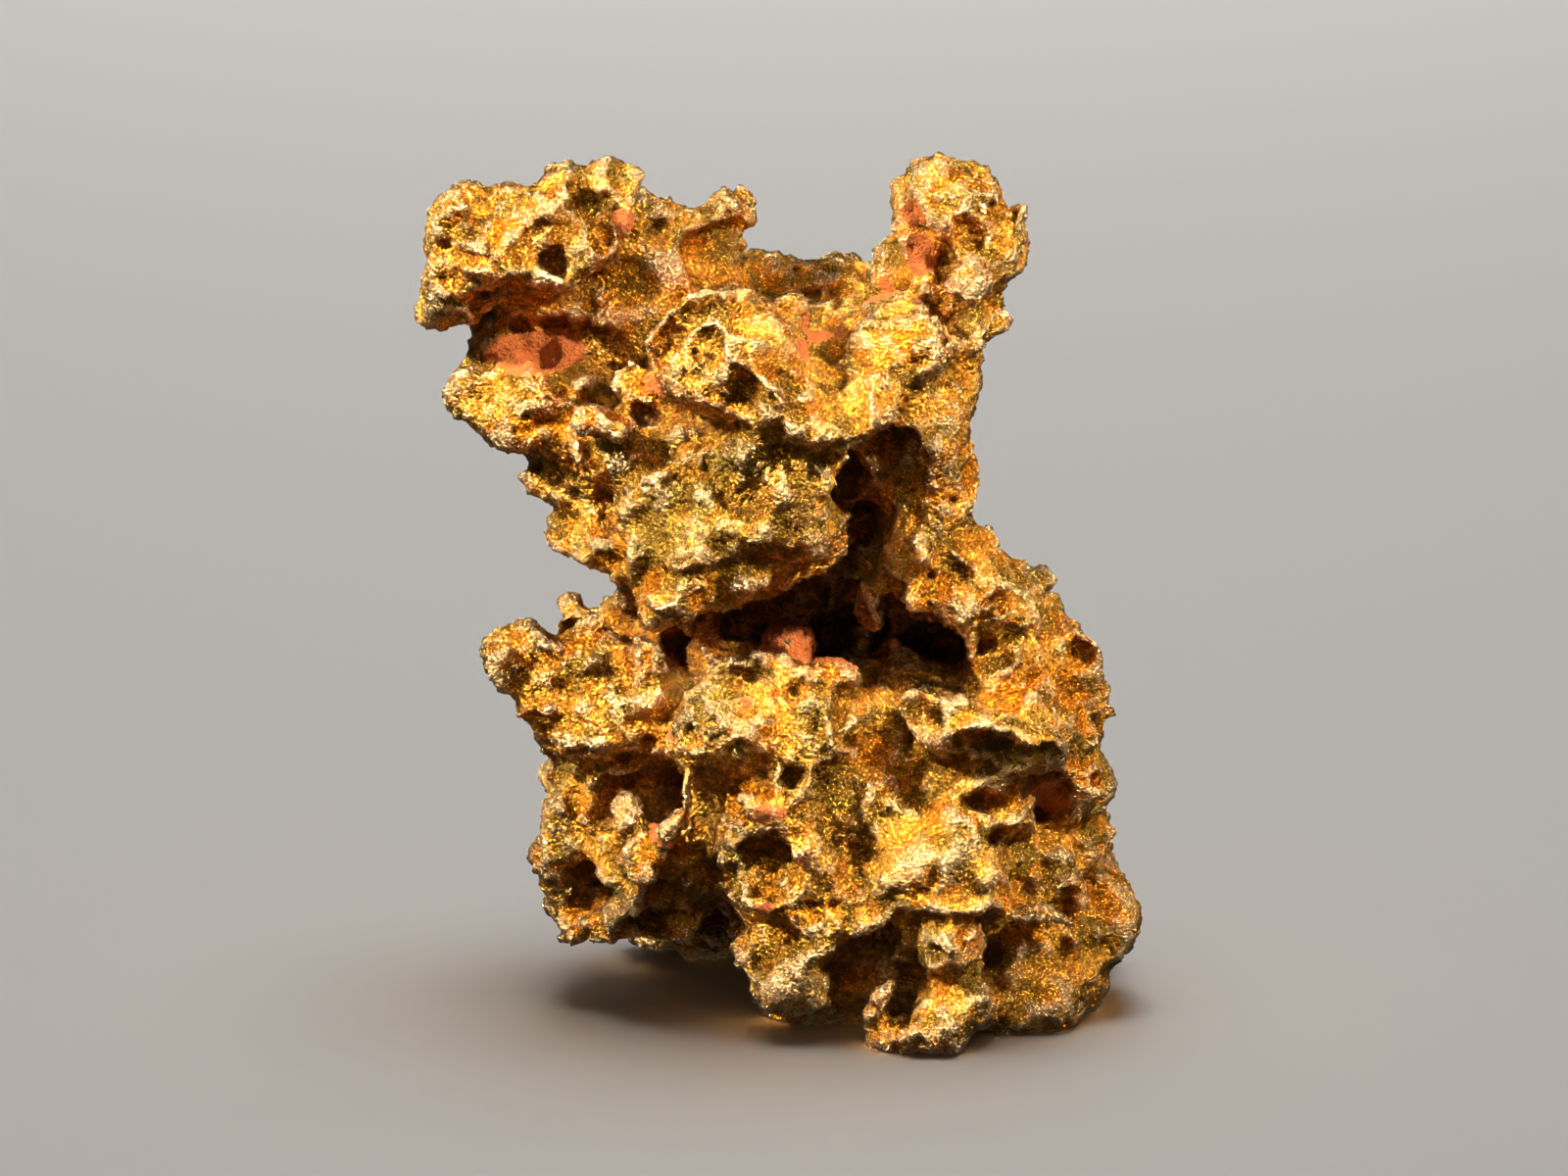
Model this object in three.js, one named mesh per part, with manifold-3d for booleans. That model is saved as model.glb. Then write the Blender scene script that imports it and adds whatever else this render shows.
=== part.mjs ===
// A native gold nugget, one natural lump that is taller than it is wide.
// Millimetres, +Z up, the side with the deep waist and the open mouth faces -Y,
// and the origin is on the ground under the middle of the lump.
import * as THREE from 'three';
import { MarchingCubes } from 'three/addons/objects/MarchingCubes.js';
import { ImprovedNoise } from 'three/addons/math/ImprovedNoise.js';
import { mergeVertices } from 'three/addons/utils/BufferGeometryUtils.js';
import Module from 'manifold-3d';

// Driving dimensions
const viewDip = 15; // the forms are placed as seen from this many degrees above level
const groundLine = 14; // where the ground under the middle shows in that view
const middle = { x: 1.7, y: 19.16 }; // the middle of the lump, which goes over the origin
const boxiness = 2.5; // 2 is a smooth egg, more is blockier
const blend = { lumps: 4, hollows: 2, ridges: 2.5 }; // how softly a form runs into the rest
const waves = { // how far the slow waves carry the surface, and how long they are along each axis
  big: { reach: 2.4, length: [13, 15, 14], swayLength: [17, 19, 16], sway: [1.3, 1.1, 1.2] },
  small: { reach: 1.3, length: [4.7, 5.3, 4.9], crossLength: [6.1, 5.9, 6.7] },
};
const bumps = [
  { size: 23, height: 2.4 }, // knobs a thumb wide
  { size: 14, height: 1.2 }, // the lumps between them
];
const grid = { count: 42, step: 8.4, centre: new THREE.Vector3(0, 15, 142) };
const leastCut = 0.14; // the share of a grid step that every facet keeps from a grid point
const mostFacets = 20000; // the room that is kept for the facets of the skin
const weld = 0.001; // corners closer than this are one corner
const farOut = 12; // the distance from the metal that empty space starts from
const reach = { near: -110, far: 150, step: 1 }; // where the view looks for the front, along y
const ground = { width: 500, depth: 100 }; // the block that makes the foot flat

// Each lump, hollow and ridge end is placed by x, by its height as seen in the view, and by
// y, which grows towards the back. Half width, half height and half depth follow, then
// the degrees it leans to the left, dips forward and turns.
const masses = [
  // lower body
  ['foundation', 38, 50, 26, 58, 44, 58],
  ['backBase', 20, 90, 52, 62, 42, 38],
  ['backHeel', -36, 50, 58, 30, 18, 28],
  ['backHip', 62, 64, 62, 30, 30, 26],
  ['backHump', -22, 96, 74, 26, 24, 20],
  ['backRidge', 34, 118, 74, 22, 30, 14, 12],
  ['sideRight', 100, 60, 40, 16, 26, 24],
  ['sideLeft', -62, 96, 44, 18, 26, 24],
  ['rightBulk', 82, 52, 20, 32, 43, 44],
  ['rightToe', 110, 48, 10, 14, 17, 22, 10],
  ['leftBulk', -44, 82, 24, 32, 34, 40],
  ['leftColumn', -72, 80, 12, 7.5, 20, 20, 3],
  ['leftHeel', -76, 66, 14, 8, 10, 16],
  ['leftLip', -48, 48, 14, 25, 7, 26, 8],
  ['belly', 18, 74, -10, 40, 42, 38],
  ['middleBody', 26, 112, 16, 66, 30, 46],
  ['leftShoulder', -54, 120, 16, 36, 22, 30, 6],
  ['shoulderFront', -48, 112, 0, 28, 14, 18, 8, 30],
  ['shelf', -6, 112, -20, 34, 20, 24, 0, 30],
  ['leftKnob', -92, 132, 6, 9.5, 10, 12],
  ['leftKnobTop', -82, 138, 8, 8, 8, 11],
  ['leftKnobLow', -83, 118, 8, 9, 8, 12],
  ['shoulderTop', -66, 134, 10, 16, 10, 16],
  ['shoulderPeak', -60, 143, 12, 5, 9, 9],
  ['shoulderBlock', -46, 133, 2, 9, 11, 16],
  ['shoulderBack', -34, 128, 50, 42, 34, 28],
  ['apron', 52, 66, -26, 26, 22, 26, 0, 35],
  ['rightShoulder', 80, 136, 6, 17, 15, 26, -10],
  ['ledge', 72, 111, -24, 28, 11, 24, -14, -8],
  ['rightFace', 64, 92, -8, 26, 20, 30],
  ['rightWall', 98, 108, 14, 10, 18, 24],
  ['shoulderRoot', 84, 144, 24, 15, 15, 16],
  ['cupKnob', 102, 136, 6, 9.5, 11, 12],
  ['edgeKnob', 105, 123, 8, 7.5, 8, 11],
  ['wallLump', 104, 95, 8, 8, 7, 12],
  ['wallBack', 92, 117, 6, 10, 9, 16],
  ['wallBoulder', 105, 86, 4, 10, 8, 14, 12],
  ['wallTooth', 110, 75, 6, 7, 5, 9, 10],
  ['wallBase', 102, 70, 8, 13, 12, 18],
  ['faceD', 88, 28, 4, 24, 20, 36],
  ['faceA', 4, 28, -28, 15, 14, 20, 10],
  ['lumpC', 56, 39, -36, 13, 12, 16],
  ['foot', 48, 7, -42, 17, 8, 14, -3],
  ['footRight', 60, 18, -30, 16, 14, 20],
  ['pinnacle', 33, 22, -44, 5, 11, 7, -6],
  ['legLeft', -12, 34, -30, 5, 9, 10, -20],
  // waist and column
  ['waist', 4, 156, 40, 54, 36, 36],
  ['neckEdge', -48, 160, 30, 7, 12, 14, -10],
  ['column', 47, 188, 12, 16, 40, 36, 3],
  ['columnBack', 24, 180, 40, 34, 50, 32],
  ['columnFoot', 62, 160, 4, 22, 11, 30, -14],
  ['columnHeel', 58, 156, 34, 13, 13, 20],
  ['nose', 82, 158, 2, 11, 8, 20, -14],
  ['noseTop', 66, 170, 4, 14, 8, 22, -28],
  ['edgeBump1', 57, 193, 0, 8, 8, 14],
  ['edgeBump2', 60, 176, 2, 8, 6, 14],
  ['edgeBump3', 55, 203, 4, 8, 5, 16],
  // upper body
  ['face', -22, 189, -2, 37, 35, 38],
  ['faceLump1', -44, 196, -18, 15, 12, 20, 10],
  ['faceLump2', -28, 176, -24, 15, 13, 20, -20],
  ['faceLump3', -8, 206, -26, 14, 10, 18],
  ['faceLump4', 4, 184, -26, 12, 14, 16],
  ['faceLump5', 12, 170, -16, 12, 9, 16, -25],
  ['faceLump6', -58, 178, 0, 14, 10, 22],
  ['faceRight', 2, 194, -6, 22, 28, 36],
  ['lip', -28, 160, -14, 20, 12, 26, 0, -15],
  ['lipTooth', -9, 160, -34, 7, 5, 8, 25],
  ['upperBody', 6, 222, 22, 58, 34, 44],
  ['jawBody', -78, 217, 12, 27, 17, 26, -20],
  ['jawTip', -100, 226, 14, 13, 10, 16, -22],
  ['jawStep', -58, 208, -8, 16, 11, 24, -8],
  ['jawRoot', -59, 199, -2, 11, 9, 16],
  ['lowerJaw', -69, 192, 10, 17, 9, 24, -18],
  ['lowerJawTip', -83, 193, 10, 6, 6.5, 10],
  ['chin', -69, 178, 10, 11.5, 9, 18, 10],
  ['chinRight', -54, 180, 12, 12, 10, 20],
  ['rightUpper', 44, 222, 14, 22, 36, 40],
  ['brow', -14, 239, -18, 28, 20, 28, 6],
  ['browLow', 2, 226, -22, 20, 14, 24],
  ['belt', 20, 217, -34, 22, 8, 14, 14],
  ['beltTop', 30, 228, -26, 14, 8, 16, 10],
  ['rightBrow', 43, 244, -8, 18, 13, 22, -4],
  ['rightEdge1', 71, 251, 12, 6, 6, 9],
  ['rightEdge2', 63, 264, 8, 9, 7, 14],
  ['rightEdge3', 64, 240, 10, 6, 12, 14],
  ['rightEdge4', 64, 226, 12, 7, 9, 16],
  ['backRim', 8, 259, 56, 44, 18, 14],
  ['rimBump', -22, 262, 64, 14, 12, 12],
  ['rimBump2', 22, 256, 64, 18, 12, 10],
  ['backLump1', -30, 222, 76, 20, 16, 12, 20],
  ['backLump2', 18, 208, 82, 22, 24, 12, -15],
  ['backLump3', -18, 180, 74, 26, 18, 14],
  ['backLump4', 40, 160, 64, 16, 20, 14],
  ['backUpper', 2, 205, 50, 56, 56, 34],
  // wing
  ['wingLeft', -107, 272, 12, 15, 22, 20, -14],
  ['wingMiddle', -84, 276, 12, 28, 18, 20, 4],
  ['wingHump', -66, 288, 16, 18, 13, 16],
  ['wingKnob1', -57, 298, 16, 6, 7, 8],
  ['wingKnob2', -49, 296, 17, 5, 7, 7],
  ['wingKnob3', -73, 297, 15, 8, 6, 9],
  ['wingKnob4', -106, 291, 12, 6, 6, 9, -20],
  ['wingFoot', -117, 254, 12, 7.5, 7, 10],
  ['wingLobe', -100, 260, 6, 12, 9, 14],
  ['wingLobe2', -82, 262, 8, 11, 7, 14],
  ['wingBoss', -96, 278, -4, 9, 8, 8],
  ['wingBoss2', -80, 284, 0, 9, 7, 9],
  ['wingBoss3', -114, 270, 2, 8, 9, 9],
  ['wingSlope', -44, 266, 34, 30, 27, 16, -12, 10],
  ['wingStem', -31, 275, 42, 15, 15, 11],
  ['wingEnd', -17, 287, 42, 8, 5.5, 8, -10],
  ['wingUnder', -76, 248, 28, 30, 14, 20],
  ['wingRoot', -50, 240, 38, 38, 34, 26],
  // horn
  ['horn', 60, 283, 32, 20, 19, 22],
  ['hornBack', 56, 270, 48, 20, 24, 16],
  ['hornRight', 72, 276, 28, 11, 14, 16],
  ['hornTop', 56, 298, 34, 9, 6, 12],
  ['hornLip', 43, 294, 36, 7, 6, 11, 15],
  ['hornNeck', 56, 258, 30, 17, 22, 24],
  ['spur', 34, 266, 36, 9, 14, 14, -25],
];
const hollows = [
  ['underFace', 14, 142, -24, 46, 14, 40],
  ['underFaceLeft', -27, 139, -22, 12, 10, 28],
  ['underFaceDeep', 26, 140, 2, 15, 9, 24],
  ['underFaceRoof', 24, 158, -38, 22, 13, 20],
  ['neckHollow', -48, 148, 4, 11, 8, 16],
  ['eye', 22, 190, -28, 6.5, 12.5, 26],
  ['eyeRight', 38, 196, -34, 12, 17, 16],
  ['bowl', -3, 63, -48, 12, 13, 12],
  ['spurShadow', -19, 85, -42, 8, 8, 10],
  ['valley', 24, 82, -50, 9, 24, 13, 12],
  ['valleyTop', 32, 108, -44, 12, 16, 16],
  ['cleft', -88, 240, -8, 28, 4, 26, 3],
  ['cleftDeep', -62, 236, -6, 14, 5, 22, -12],
  ['wingRecess', -80, 250, -4, 18, 8, 10],
  ['leftPocket', -50, 84, -16, 14, 13, 15],
  ['leftPocketTop', -37, 92, -20, 8, 9, 15],
  ['lowPocket', -59, 56, -10, 13, 7, 16],
  ['redPocket', -48, 223, -20, 11, 8, 18],
  ['topBowl', -6, 268, 20, 28, 14, 22],
  ['channel', 20, 256, 8, 22, 7, 18, 25],
  ['hornChannel', 48, 276, 12, 6, 16, 10, 20],
  ['rightRecess', 56, 252, -6, 8, 9, 12],
  ['underLeft', -42, 30, 0, 34, 13, 60, 8],
  ['underBack', 10, 22, 96, 30, 12, 22],
  ['backPocket1', -10, 130, 92, 22, 12, 20, 10],
  ['backPocket2', 4, 160, 88, 16, 8, 16, -20],
  ['backPocket3', -26, 200, 88, 10, 12, 14],
  ['backPocket4', 44, 190, 74, 10, 18, 14],
  ['backPocket5', 30, 88, 96, 14, 20, 14, 20],
  ['sidePocketLeft', -80, 104, 44, 12, 9, 12],
  ['sidePocketRight', 116, 84, 40, 10, 10, 14],
  ['neckRight', 66, 216, 44, 10, 22, 14],
  ['recessB', 30, 37, -44, 11, 11, 14],
  ['gapC', 72, 30, -34, 6, 12, 12],
  ['underLedge', 70, 88, -46, 11, 5.5, 15, 12],
  ['underLedgeFront', 76, 97, -52, 28, 7, 22, -12],
  ['toeCup', 111, 55, -12, 5.5, 9, 5],
  ['sidePocket', 83, 61, -28, 5, 8, 5],
  ['browHollow', -25, 232, -47, 9, 9, 8, 20],
  ['browPocket', 4, 229, -52, 11, 5, 7, -14],
  ['faceHollow', -24, 201, -44, 9, 9, 9],
];
const ridges = [
  ['innerLump', -49, 82, -12, 8, 8, 9],
  ['innerLump2', -56, 64, -12, 8, 5, 9],
  ['underLump', 4, 140, -6, 10, 6, 14],
  ['hangingLump', 33, 152, -2, 5, 9, 12],
  ['ridge', -12, 89, -40, 13, 73, -42, 5.5, 7],
  ['ridge', -30, 82, -28, -44, 65, -20, 5.5, 7],
  ['ridge', -44, 65, -20, -62, 46, -8, 5.5, 7],
  ['ridge', -43, 241, -32, -34, 252, -32, 5, 7],
  ['ridge', -34, 252, -32, -6, 258, -28, 5, 7],
  ['ridge', -108, 266, -6, -86, 265, -8, 5, 7],
  ['ridge', -86, 263, -8, -70, 259, -4, 5, 7],
  ['ridge', -68, 218, -22, -50, 216, -30, 5, 7],
  ['ridge', -26, 132, -30, 0, 134, -34, 6, 8],
  ['ridge', 0, 134, -34, 26, 130, -32, 6, 8],
  ['ridge', -8, 24, -38, 16, 39, -42, 6, 8],
  ['ridge', 18, 43, -40, 44, 50, -44, 6, 8],
  ['ridge', 46, 49, -46, 76, 49, -40, 6, 8],
  ['ridge', 76, 47, -36, 100, 46, -22, 6, 8],
];

// Small lumps and hollows of the front: x, height as seen, half width, half height, how far
// the lump stands out of the metal or the hollow goes in (less than 0), degrees of lean
const frontForms = [
  // on the top
  [-66, 289, 6, 5, -4.5],
  [50, 288, 5, 5, -4],
  [-53, 285, 6, 5, -8],
  [-109, 281, 9, 9, 3],
  [-40, 281, 7, 5, -4],
  [64, 279, 9, 6, -5, 15],
  [-62, 278, 8, 6, -3.5],
  [64, 267, 6, 5, 6],
  [-50, 262, 9, 10, -3, 25],
  [-95, 254, 11, 7, -10],
  [56, 252, 6, 8, -7],
  [-10, 248, 9, 6, -4, 10],
  // on the upper body
  [-37, 242, 5, 7, -4, 25],
  [-82, 240, 6, 5, -5],
  [-24, 240, 7, 7, -4, 25],
  [3, 229, 6, 5, -5],
  [-66, 228, 5.5, 5, 5],
  [-47, 226, 10, 9, 4, -20],
  [-66, 215, 6, 5, 5],
  [-88, 214, 13, 5, -3, -25],
  [-56, 213, 5.5, 5, 5],
  [10, 213, 7, 5, 4],
  [40, 209, 9, 8, -4],
  [-25, 200, 10, 8, -4.5, 20],
  [0, 193, 5, 8, 4],
  [65, 193, 5, 5, 3],
  [-15, 190, 8, 6, -4, -25],
  [-4, 177, 7, 5, 4, -20],
  [70, 176, 6, 5, 3.5],
  [-48, 172, 5, 6, 3],
  [-32, 157, 12, 7, 4],
  // on the waist and the shoulders
  [-49, 148, 9, 5, -9],
  [26, 140, 12, 9, -9],
  [50, 140, 9, 9, -9],
  [-33, 138, 5, 8, -12],
  [-44, 137, 7, 7, 6],
  [-95, 134, 6, 6, 3],
  [-62, 133, 6, 5, 3.5],
  [-48, 119, 12, 5, 3.5, 8],
  [57, 118, 9, 6, 4, -15],
  [86, 118, 6.5, 6, 4.5],
  [99, 111, 5, 9, -5],
  [34, 110, 5, 8, -4],
  [44, 104, 5, 6, -5],
  // on the lower body
  [22, 92, 8, 11, -3],
  [-37, 90, 6, 8, -9, 10],
  [-17, 86, 6, 6, -8],
  [106, 86, 8, 6.5, 3, 15],
  [42, 82, 7, 5, 3],
  [58, 82, 6, 5, 3],
  [18, 78, 6, 8, -3],
  [-6, 69, 8, 5, -3],
  [70, 62, 5, 6, 3],
  [97, 58, 5, 5, 3],
  [111, 56, 6, 8, -3.5],
  [-60, 54, 9, 5, -7],
  [87, 34, 8, 6, 3],
  [90, 22, 9, 5, -3],
];

// The way the view looks
const inView = new THREE.Vector3(0, 1, 0);
inView.applyAxisAngle(new THREE.Vector3(-1, 0, 0), THREE.MathUtils.degToRad(viewDip));

// The height above the ground of a point that is seen at a height in the tilted view
function trueHeight(seen, y) {
  return (seen - groundLine + y * inView.z) / inView.y;
}

// The turn into the axes of a form that leans, dips and is turned
function inwardTurn(lean, dip, turn) {
  return new THREE.Matrix4().makeRotationFromEuler(new THREE.Euler(
    THREE.MathUtils.degToRad(-dip),
    THREE.MathUtils.degToRad(-lean),
    THREE.MathUtils.degToRad(turn),
    'ZXY',
  )).transpose();
}

// A form as its middle, the turn into its own axes and its three half sizes
function readLump([, x, seen, y, halfWidth, halfHeight, halfDepth, lean = 0, dip = 0, turn = 0]) {
  return {
    middle: new THREE.Vector3(x, y, trueHeight(seen, y)),
    inward: inwardTurn(lean, dip, turn),
    half: new THREE.Vector3(halfWidth, halfDepth, halfHeight),
  };
}

// A ridge runs from one point to another, a little past both
function readRidge([, x1, seen1, y1, x2, seen2, y2, halfHeight, halfDepth]) {
  const start = new THREE.Vector3(x1, y1, trueHeight(seen1, y1));
  const end = new THREE.Vector3(x2, y2, trueHeight(seen2, y2));
  const along = end.clone().sub(start);
  const halfLength = along.length() / 2 + halfHeight / 2;
  along.normalize();
  const across = new THREE.Vector3(0, 1, 0).addScaledVector(along, -along.y).normalize();
  const over = new THREE.Vector3().crossVectors(along, across);
  return {
    middle: start.add(end).multiplyScalar(0.5),
    inward: new THREE.Matrix4().makeBasis(along, across, over).transpose(),
    half: new THREE.Vector3(halfLength, halfDepth, halfHeight),
  };
}

const readForm = (row) => (row[0] === 'ridge' ? readRidge(row) : readLump(row));

// Distance from a point to a rounded block, negative inside it
function distanceTo(form, point, local) {
  local.copy(point).sub(form.middle).applyMatrix4(form.inward);
  const x = Math.abs(local.x) / form.half.x;
  const y = Math.abs(local.y) / form.half.y;
  const z = Math.abs(local.z) / form.half.z;
  const sum = x ** boxiness + y ** boxiness + z ** boxiness;
  const size = sum ** (1 / boxiness);
  const slope = Math.hypot(
    x ** (boxiness - 1) / form.half.x,
    y ** (boxiness - 1) / form.half.y,
    z ** (boxiness - 1) / form.half.z,
  ) / size ** (boxiness - 1);
  return (size - 1) / slope;
}

// The smaller of two distances, rounded off where they are nearly alike
function softMin(a, b, softness) {
  const near = Math.max(softness - Math.abs(a - b), 0) / softness;
  return Math.min(a, b) - near * near * softness / 4;
}

// Slow waves make every form irregular
function carry({ x, y, z }, target) {
  const { big, small } = waves;
  const bigWave = (axis, along, across) => big.reach * Math.sin(
    along / big.length[axis] + big.sway[axis] * Math.sin(across / big.swayLength[axis]),
  );
  const smallWave = (axis, along, across) => small.reach * Math.sin(
    along / small.length[axis] + across / small.crossLength[axis],
  );
  target.set(
    x - bigWave(0, z, y) - smallWave(0, y, z),
    y - bigWave(1, x, z) - smallWave(1, z, -x),
    z - bigWave(2, y, x) - smallWave(2, x, y),
  );
}

const noise = new ImprovedNoise();

function bumpAt({ x, y, z }) {
  return bumps.reduce(
    (sum, { size, height }) => sum + height * noise.noise(x / size, y / size, z / size),
    0,
  );
}

const lumpForms = masses.map(readForm);
const hollowForms = hollows.map(readForm);
const raisedForms = ridges.map(readForm);
const sunkForms = [];

// Distance from a point to the surface of the nugget, negative inside the metal
function nuggetDistance(point, carried, local) {
  carry(point, carried);
  let distance = farOut;
  for (const form of lumpForms) {
    distance = softMin(distance, distanceTo(form, carried, local), blend.lumps);
  }
  for (const form of hollowForms) {
    distance = -softMin(-distance, distanceTo(form, carried, local), blend.hollows);
  }
  for (const form of raisedForms) {
    distance = softMin(distance, distanceTo(form, carried, local), blend.ridges);
  }
  for (const form of sunkForms) {
    distance = -softMin(-distance, distanceTo(form, carried, local), blend.hollows);
  }
  return distance - bumpAt(point);
}

// A small form sits where the view first meets the metal, and is as deep as it stands out
function placeFront([x, seen, halfWidth, halfHeight, out, lean = 0]) {
  const point = new THREE.Vector3(x, reach.near, trueHeight(seen, reach.near));
  const carried = new THREE.Vector3();
  const local = new THREE.Vector3();
  while (nuggetDistance(point, carried, local) > 0) {
    point.addScaledVector(inView, reach.step);
    if (point.y > reach.far) {
      throw new Error(`no metal is seen at ${x}, ${seen}`);
    }
  }
  return {
    middle: carried,
    inward: inwardTurn(lean, viewDip, 0),
    half: new THREE.Vector3(halfWidth, Math.abs(out), halfHeight),
  };
}

// All of them are placed before the first one changes the surface
const placedForms = frontForms.map(placeFront);
frontForms.forEach(([, , , , out], i) => {
  (out > 0 ? raisedForms : sunkForms).push(placedForms[i]);
});

// The skin of the nugget, as facets about one grid step wide
function makeSkin(material) {
  const cubes = new MarchingCubes(grid.count, material, false, false, mostFacets);
  cubes.isolation = 0;
  const least = leastCut * grid.step;
  const point = new THREE.Vector3();
  const carried = new THREE.Vector3();
  const local = new THREE.Vector3();
  for (let k = 0; k < grid.count; k++) {
    for (let j = 0; j < grid.count; j++) {
      for (let i = 0; i < grid.count; i++) {
        point.set(i, j, k).subScalar(grid.count / 2).multiplyScalar(grid.step).add(grid.centre);
        const depth = -nuggetDistance(point, carried, local);
        const held = Math.sign(depth) * Math.max(Math.abs(depth), least);
        cubes.setCell(i, j, k, held);
      }
    }
  }
  cubes.update();
  const skin = new THREE.BufferGeometry();
  const corners = cubes.positionArray.slice(0, cubes.count * 3);
  skin.setAttribute('position', new THREE.BufferAttribute(corners, 3));
  const size = grid.count * grid.step / 2;
  skin.scale(size, size, size);
  skin.translate(grid.centre.x, grid.centre.y, grid.centre.z);
  return skin;
}

const wasm = await Module();
wasm.setup();

function toSolid(geometry) {
  const bare = geometry.clone();
  bare.deleteAttribute('normal');
  bare.deleteAttribute('uv');
  const merged = mergeVertices(bare, weld);
  return new wasm.Manifold(new wasm.Mesh({
    numProp: 3,
    vertProperties: merged.attributes.position.array,
    triVerts: merged.index.array,
  }));
}

function toGeometry(solid) {
  const { vertProperties, triVerts } = solid.getMesh();
  const geometry = new THREE.BufferGeometry();
  geometry.setAttribute('position', new THREE.BufferAttribute(vertProperties, 3));
  geometry.setIndex(new THREE.BufferAttribute(triVerts, 1));
  geometry.computeVertexNormals();
  return geometry;
}

// The nugget, cut off flat where it rests
function makeNugget() {
  const gold = new THREE.MeshStandardMaterial({ color: 0xd9a032, roughness: 0.38, metalness: 1 });
  gold.name = 'native gold';
  const block = new THREE.BoxGeometry(ground.width, ground.width, ground.depth);
  block.translate(0, 0, -ground.depth / 2);
  const geometry = toGeometry(toSolid(makeSkin(gold)).subtract(toSolid(block)));
  geometry.translate(-middle.x, -middle.y, 0);
  const nugget = new THREE.Mesh(geometry, gold);
  nugget.name = 'gold_nugget';
  return nugget;
}

const model = new THREE.Group();
model.add(makeNugget());

export default model;
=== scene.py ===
# A gold nugget: one natural lump of native gold, with rust-red iron clay left in its hollows
import math
import random
import bmesh
import bpy
import numpy as np
from mathutils import Matrix, Vector, noise
from mathutils.bvhtree import BVHTree


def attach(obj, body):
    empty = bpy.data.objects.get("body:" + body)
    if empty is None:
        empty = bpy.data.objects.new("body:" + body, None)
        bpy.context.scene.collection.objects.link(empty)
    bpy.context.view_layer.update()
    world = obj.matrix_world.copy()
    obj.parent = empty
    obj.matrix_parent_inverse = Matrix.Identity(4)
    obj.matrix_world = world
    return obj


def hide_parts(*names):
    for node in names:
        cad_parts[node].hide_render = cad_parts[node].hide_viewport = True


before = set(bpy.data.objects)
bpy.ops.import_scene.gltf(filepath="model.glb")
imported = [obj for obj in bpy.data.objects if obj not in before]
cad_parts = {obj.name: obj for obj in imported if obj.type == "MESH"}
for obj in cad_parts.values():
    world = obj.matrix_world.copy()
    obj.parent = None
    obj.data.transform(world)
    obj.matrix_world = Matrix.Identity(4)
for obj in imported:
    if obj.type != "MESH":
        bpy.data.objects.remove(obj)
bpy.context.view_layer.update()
scene = bpy.context.scene
mm = 0.001
noise.seed_set(11)  # without this the vector noise would start from the clock


# How the forms are placed: x, the height as seen from the front, and y towards the back, in mm
seat = {
    "viewTilt": math.radians(15),  # the front is seen from this far above level
    "groundLine": 14,  # the height at which the ground under the middle is seen
    "middle": (1.7, 19.16),  # the middle of the lump, which stands over the origin
    "boxiness": 2.5,  # 2 is a smooth egg, more is blockier
    "bigWave": 2.4,  # mm, how far the slow waves carry the surface
    "smallWave": 1.3,
    "ragged": 0.55,  # how uneven the small forms are, as a share of their size
}
sinTilt = math.sin(seat["viewTilt"])
cosTilt = math.cos(seat["viewTilt"])


def trueHeight(seen, y):
    return (seen - seat["groundLine"] - y * sinTilt) / cosTilt


def wave(x, y, z):
    big, small = seat["bigWave"], seat["smallWave"]
    dx = big * np.sin(z / 13 + 1.3 * np.sin(y / 17)) + small * np.sin(y / 4.7 + z / 6.1)
    dy = big * np.sin(x / 15 + 1.1 * np.sin(z / 19)) + small * np.sin(z / 5.3 - x / 5.9)
    dz = big * np.sin(y / 14 + 1.2 * np.sin(x / 16)) + small * np.sin(x / 4.9 + y / 6.7)
    return np.stack([dx, dy, dz], 1)


def readForm(row):  # gives the centre, the turn and the three half sizes of one form
    if row[0] == "ridge":
        x1, seen1, y1, x2, seen2, y2, halfHeight, halfDepth = row[1:9]
        start = Vector((x1, y1, trueHeight(seen1, y1)))
        end = Vector((x2, y2, trueHeight(seen2, y2)))
        along = end - start
        halfLength = along.length / 2 + halfHeight / 2
        along.normalize()
        across = (Vector((0, 1, 0)) - along * along.y).normalized()
        over = along.cross(across)
        spin = Matrix((along, across, over)).transposed()
        return (start + end) / 2, spin, (halfLength, halfDepth, halfHeight)
    x, seen, y, halfWidth, halfHeight, halfDepth = row[1:7]
    lean, dip, turn = (math.radians(a) for a in (tuple(row[7:10]) + (0, 0, 0))[:3])
    spin = Matrix.Rotation(turn, 3, "Z") @ Matrix.Rotation(-dip, 3, "X") @ Matrix.Rotation(-lean, 3, "Y")
    return Vector((x, y, trueHeight(seen, y))), spin, (halfWidth, halfDepth, halfHeight)


def addForm(bm, centre, spin, half, inPlace=False):
    levels = 2 if max(half) < 4 else 3 if max(half) < 10 else 4 if max(half) < 26 else 5
    made = bmesh.ops.create_icosphere(bm, subdivisions=levels, radius=1)["verts"]
    ball = np.array([v.co for v in made])
    power = seat["boxiness"]
    ball /= (np.abs(ball) ** power).sum(1, keepdims=True) ** (1 / power)
    if inPlace:  # a ragged outline, never a plain oval
        ball *= [[1 + seat["ragged"] * noise.noise(Vector(b * 1.6) + centre)] for b in ball]
    still = (ball * half) @ np.array(spin).T + np.array(centre)
    held = wave(*np.array([centre]).T) if inPlace else 0  # a detail keeps its place, and only its shape is carried
    carried = still.copy()
    for step in range(3):
        carried = still + wave(*carried.T) - held
    carried -= (*seat["middle"], 0)
    for v, co in zip(made, carried * mm):
        v.co = co


def newPiece(name, forms, inPlace=False):
    bm = bmesh.new()
    for form in forms:
        addForm(bm, *form, inPlace)
    mesh = bpy.data.meshes.new(name)
    bm.to_mesh(mesh)
    bm.free()
    piece = bpy.data.objects.new(name, mesh)
    scene.collection.objects.link(piece)
    return piece


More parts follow.
